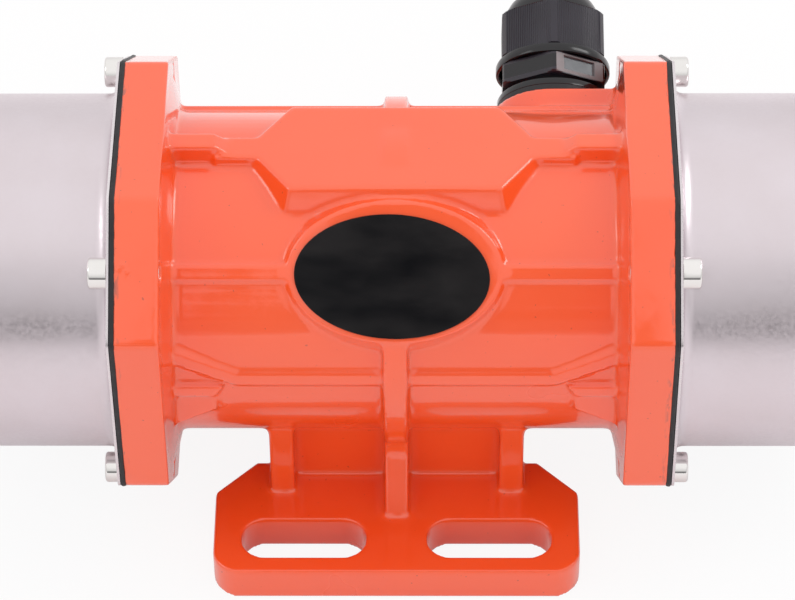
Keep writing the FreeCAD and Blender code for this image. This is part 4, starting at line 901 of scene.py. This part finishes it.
def gland_nut():
    """Moulded clamping nut: a smooth hollow skirt, a finely ribbed hexagon and a domed mouth."""
    stations = [
        (SKIRT_TOP - 0.6, NUT_THREAD, SMOOTH), (SKIRT_TOP - 0.6, 15.0, SMOOTH),
        (HEX_TOP + 0.1, 15.35, SMOOTH), (HEX_TOP, 15.5, SMOOTH), (HEX_TOP, SKIRT - 0.35, SMOOTH),
        (HEX_TOP + 0.12, SKIRT - 0.1, SMOOTH), (HEX_TOP + 0.35, SKIRT, SMOOTH),
        (SKIRT_TOP - 0.5, SKIRT, SMOOTH), (SKIRT_TOP - 0.15, SKIRT - 0.15, SMOOTH),
        (SKIRT_TOP, SKIRT - 0.45, SMOOTH), (SKIRT_TOP + 0.05, within(PLAIN, 15.6), TEXTURED),
        (SKIRT_TOP + 0.3, within(RIBBED, HEX_CORNER), TEXTURED),
        (NUT_TOP - 0.5, within(RIBBED, HEX_CORNER), TEXTURED),
        (NUT_TOP - 0.1, within(RIBBED, 15.7), TEXTURED), (NUT_TOP, within(PLAIN, 15.2), SMOOTH),
        (NUT_TOP + 0.05, 13.7, SMOOTH), (NUT_TOP + 1.6, 13.55, SMOOTH),
        (NUT_TOP + 3.2, 13.0, SMOOTH), (NUT_TOP + 4.7, 12.2, SMOOTH),
        (DOME_TOP - 0.7, 11.5, SMOOTH), (DOME_TOP - 0.15, 10.9, SMOOTH), (DOME_TOP, 10.3, SMOOTH),
        (DOME_TOP - 0.1, 9.7, SMOOTH), (DOME_TOP - 0.4, GLAND_BORE, SMOOTH),
        (DOME_TOP - 1.5, GLAND_BORE, SMOOTH), (NUT_TOP, NUT_THREAD, SMOOTH),
    ]
    thing = hardened(new_piece("gland_clamping_nut", *gland_skin(stations)))
    dress(thing, "nylon", "nylon_smooth")
    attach(thing, "housing")
    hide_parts("gland_nut")


gland_body()
gland_nut()


# ---------------------------------------------------------------- floor and light

FLOOR_HALF = 4.0
# How much of the floor's own white shows when looked at, and when mirrored in the motor.
FLOOR_SEEN = 0.9
FLOOR_MIRRORED = 0.27
# Brightness of the surroundings at the front, at the rear and overhead, and what is left of it
# where the maker stands and above the bench in front.
FRONT_LIGHT = 0.66
REAR_LIGHT = 0.92
TOP_LIGHT = 1.06
MAKER_SHADE = 0.06
BENCH_SHADE = 0.35
# The two dark patches: heights between which each starts and ends, and sideways where it fades.
MAKER_PATCH = ((0.10, 0.25), (0.765, 0.81), (0.042, 0.072))
BENCH_PATCH = ((-0.04, 0.02), (0.17, 0.30), (0.25, 0.45))
IN_FRONT = (-0.3, -0.1)
# Directions between which the light goes over from front to rear, and from there to overhead.
FRONT_TO_REAR = (-0.6, 0.6)
LOW_TO_HIGH = (0.05, 0.8)
WHITE = (1, 1, 1, 1)


def looked_at(tree):
    """1 for what the camera sees itself, also through something clear."""
    ray = add(tree, "ShaderNodeLightPath").outputs
    return worked(tree, "MAXIMUM", ray["Is Camera Ray"], ray["Is Transmission Ray"])


def studio_floor():
    """A pale sweep that shows as white and still takes the object's soft shadow."""
    corners = ((-1, -1), (1, -1), (1, 1), (-1, 1))
    points = [(x * FLOOR_HALF, y * FLOOR_HALF, 0) for x, y in corners]
    floor = new_piece("studio_floor", points, [(0, 1, 2, 3)])
    material = bpy.data.materials.new("pale_sweep")
    material.use_nodes = True
    tree = material.node_tree
    tree.nodes.clear()
    paper = add(tree, "ShaderNodeBsdfDiffuse", {"Color": tint("EDEAEB")})
    glow = add(tree, "ShaderNodeEmission", {"Color": WHITE, "Strength": 1.0})
    glossy = add(tree, "ShaderNodeLightPath").outputs["Is Glossy Ray"]
    straight = worked(tree, "MULTIPLY", looked_at(tree), FLOOR_SEEN)
    share = worked(tree, "MAXIMUM", straight, worked(tree, "MULTIPLY", glossy, FLOOR_MIRRORED))
    mix = add(tree, "ShaderNodeMixShader", {0: share, 1: paper.outputs[0], 2: glow.outputs[0]})
    add(tree, "ShaderNodeOutputMaterial", {"Surface": mix.outputs[0]})
    floor.data.materials.append(material)


def studio_world():
    """Soft light from all round, brighter overhead, with two dark patches in front.

    One is the maker's, narrow and tall, and the other lies low above the bench. The background
    itself is white.
    """
    world = bpy.data.worlds.new("studio")
    world.use_nodes = True
    tree = world.node_tree
    tree.nodes.clear()
    way = add(tree, "ShaderNodeTexCoord").outputs["Generated"]
    parts = add(tree, "ShaderNodeSeparateXYZ", {"Vector": way}).outputs

    def ramp(value, low, high, from_low, from_high):
        return add(tree, "ShaderNodeMapRange", {
            "Value": value, "From Min": from_low, "From Max": from_high, "To Min": low, "To Max": high,
        }, interpolation_type="SMOOTHSTEP").outputs["Result"]

    def patch(rise, fall, fade, shade):
        """The share of light left where a dark patch stands in front."""
        tall = worked(tree, "MULTIPLY", ramp(parts["Z"], 0, 1, *rise), ramp(parts["Z"], 1, 0, *fall))
        wide = worked(tree, "MULTIPLY", ramp(sideways, 1, 0, *fade), front)
        return ramp(worked(tree, "MULTIPLY", tall, wide), 1, shade, 0, 1)

    sideways = worked(tree, "ABSOLUTE", parts["X"])
    front = ramp(parts["Y"], 1, 0, *IN_FRONT)
    level = ramp(parts["Y"], FRONT_LIGHT, REAR_LIGHT, *FRONT_TO_REAR)
    high = ramp(parts["Z"], 0, 1, *LOW_TO_HIGH)
    light = add(tree, "ShaderNodeMix", {0: high, 2: level, 3: TOP_LIGHT}, data_type="FLOAT").outputs[0]
    shades = (patch(*MAKER_PATCH, MAKER_SHADE), patch(*BENCH_PATCH, BENCH_SHADE))
    strength = worked(tree, "MULTIPLY", light, worked(tree, "MULTIPLY", *shades))
    lit = add(tree, "ShaderNodeBackground", {"Color": WHITE, "Strength": strength})
    white = add(tree, "ShaderNodeBackground", {"Color": WHITE, "Strength": 1.0})
    mix = add(tree, "ShaderNodeMixShader", {0: looked_at(tree), 1: lit.outputs[0], 2: white.outputs[0]})
    add(tree, "ShaderNodeOutputWorld", {"Surface": mix.outputs[0]})
    bpy.context.scene.world = world


def softbox(name, way, distance, width, height, radiance, mirrored=True):
    """A softbox that looks at the motor from a direction, as bright as the radiance given.

    One that isn't mirrored only fills in and leaves no highlight.
    """
    lamp = bpy.data.lights.new(name, "AREA")
    lamp.shape = "RECTANGLE"
    lamp.size = width
    lamp.size_y = height
    lamp.energy = radiance * math.pi * width * height
    thing = bpy.data.objects.new(name, lamp)
    way = Vector(way).normalized()
    thing.location = AXIS + way * distance
    thing.rotation_euler = way.to_track_quat("Z", "Y").to_euler()
    thing.visible_glossy = mirrored
    bpy.context.scene.collection.objects.link(thing)


studio_floor()
studio_world()
softbox("right_softbox", (0.77, 0.2, 0.6), 1.3, 0.35, 0.7, 4.0)
softbox("left_softbox", (-0.8, -0.1, 0.6), 1.3, 0.3, 0.6, 2.0)
softbox("front_fill", (0.0, -0.9, 0.22), 1.8, 1.2, 0.8, 1.75, mirrored=False)
softbox("top_fill", (0.0, 0.1, 1.0), 1.8, 1.0, 1.0, 0.6, mirrored=False)
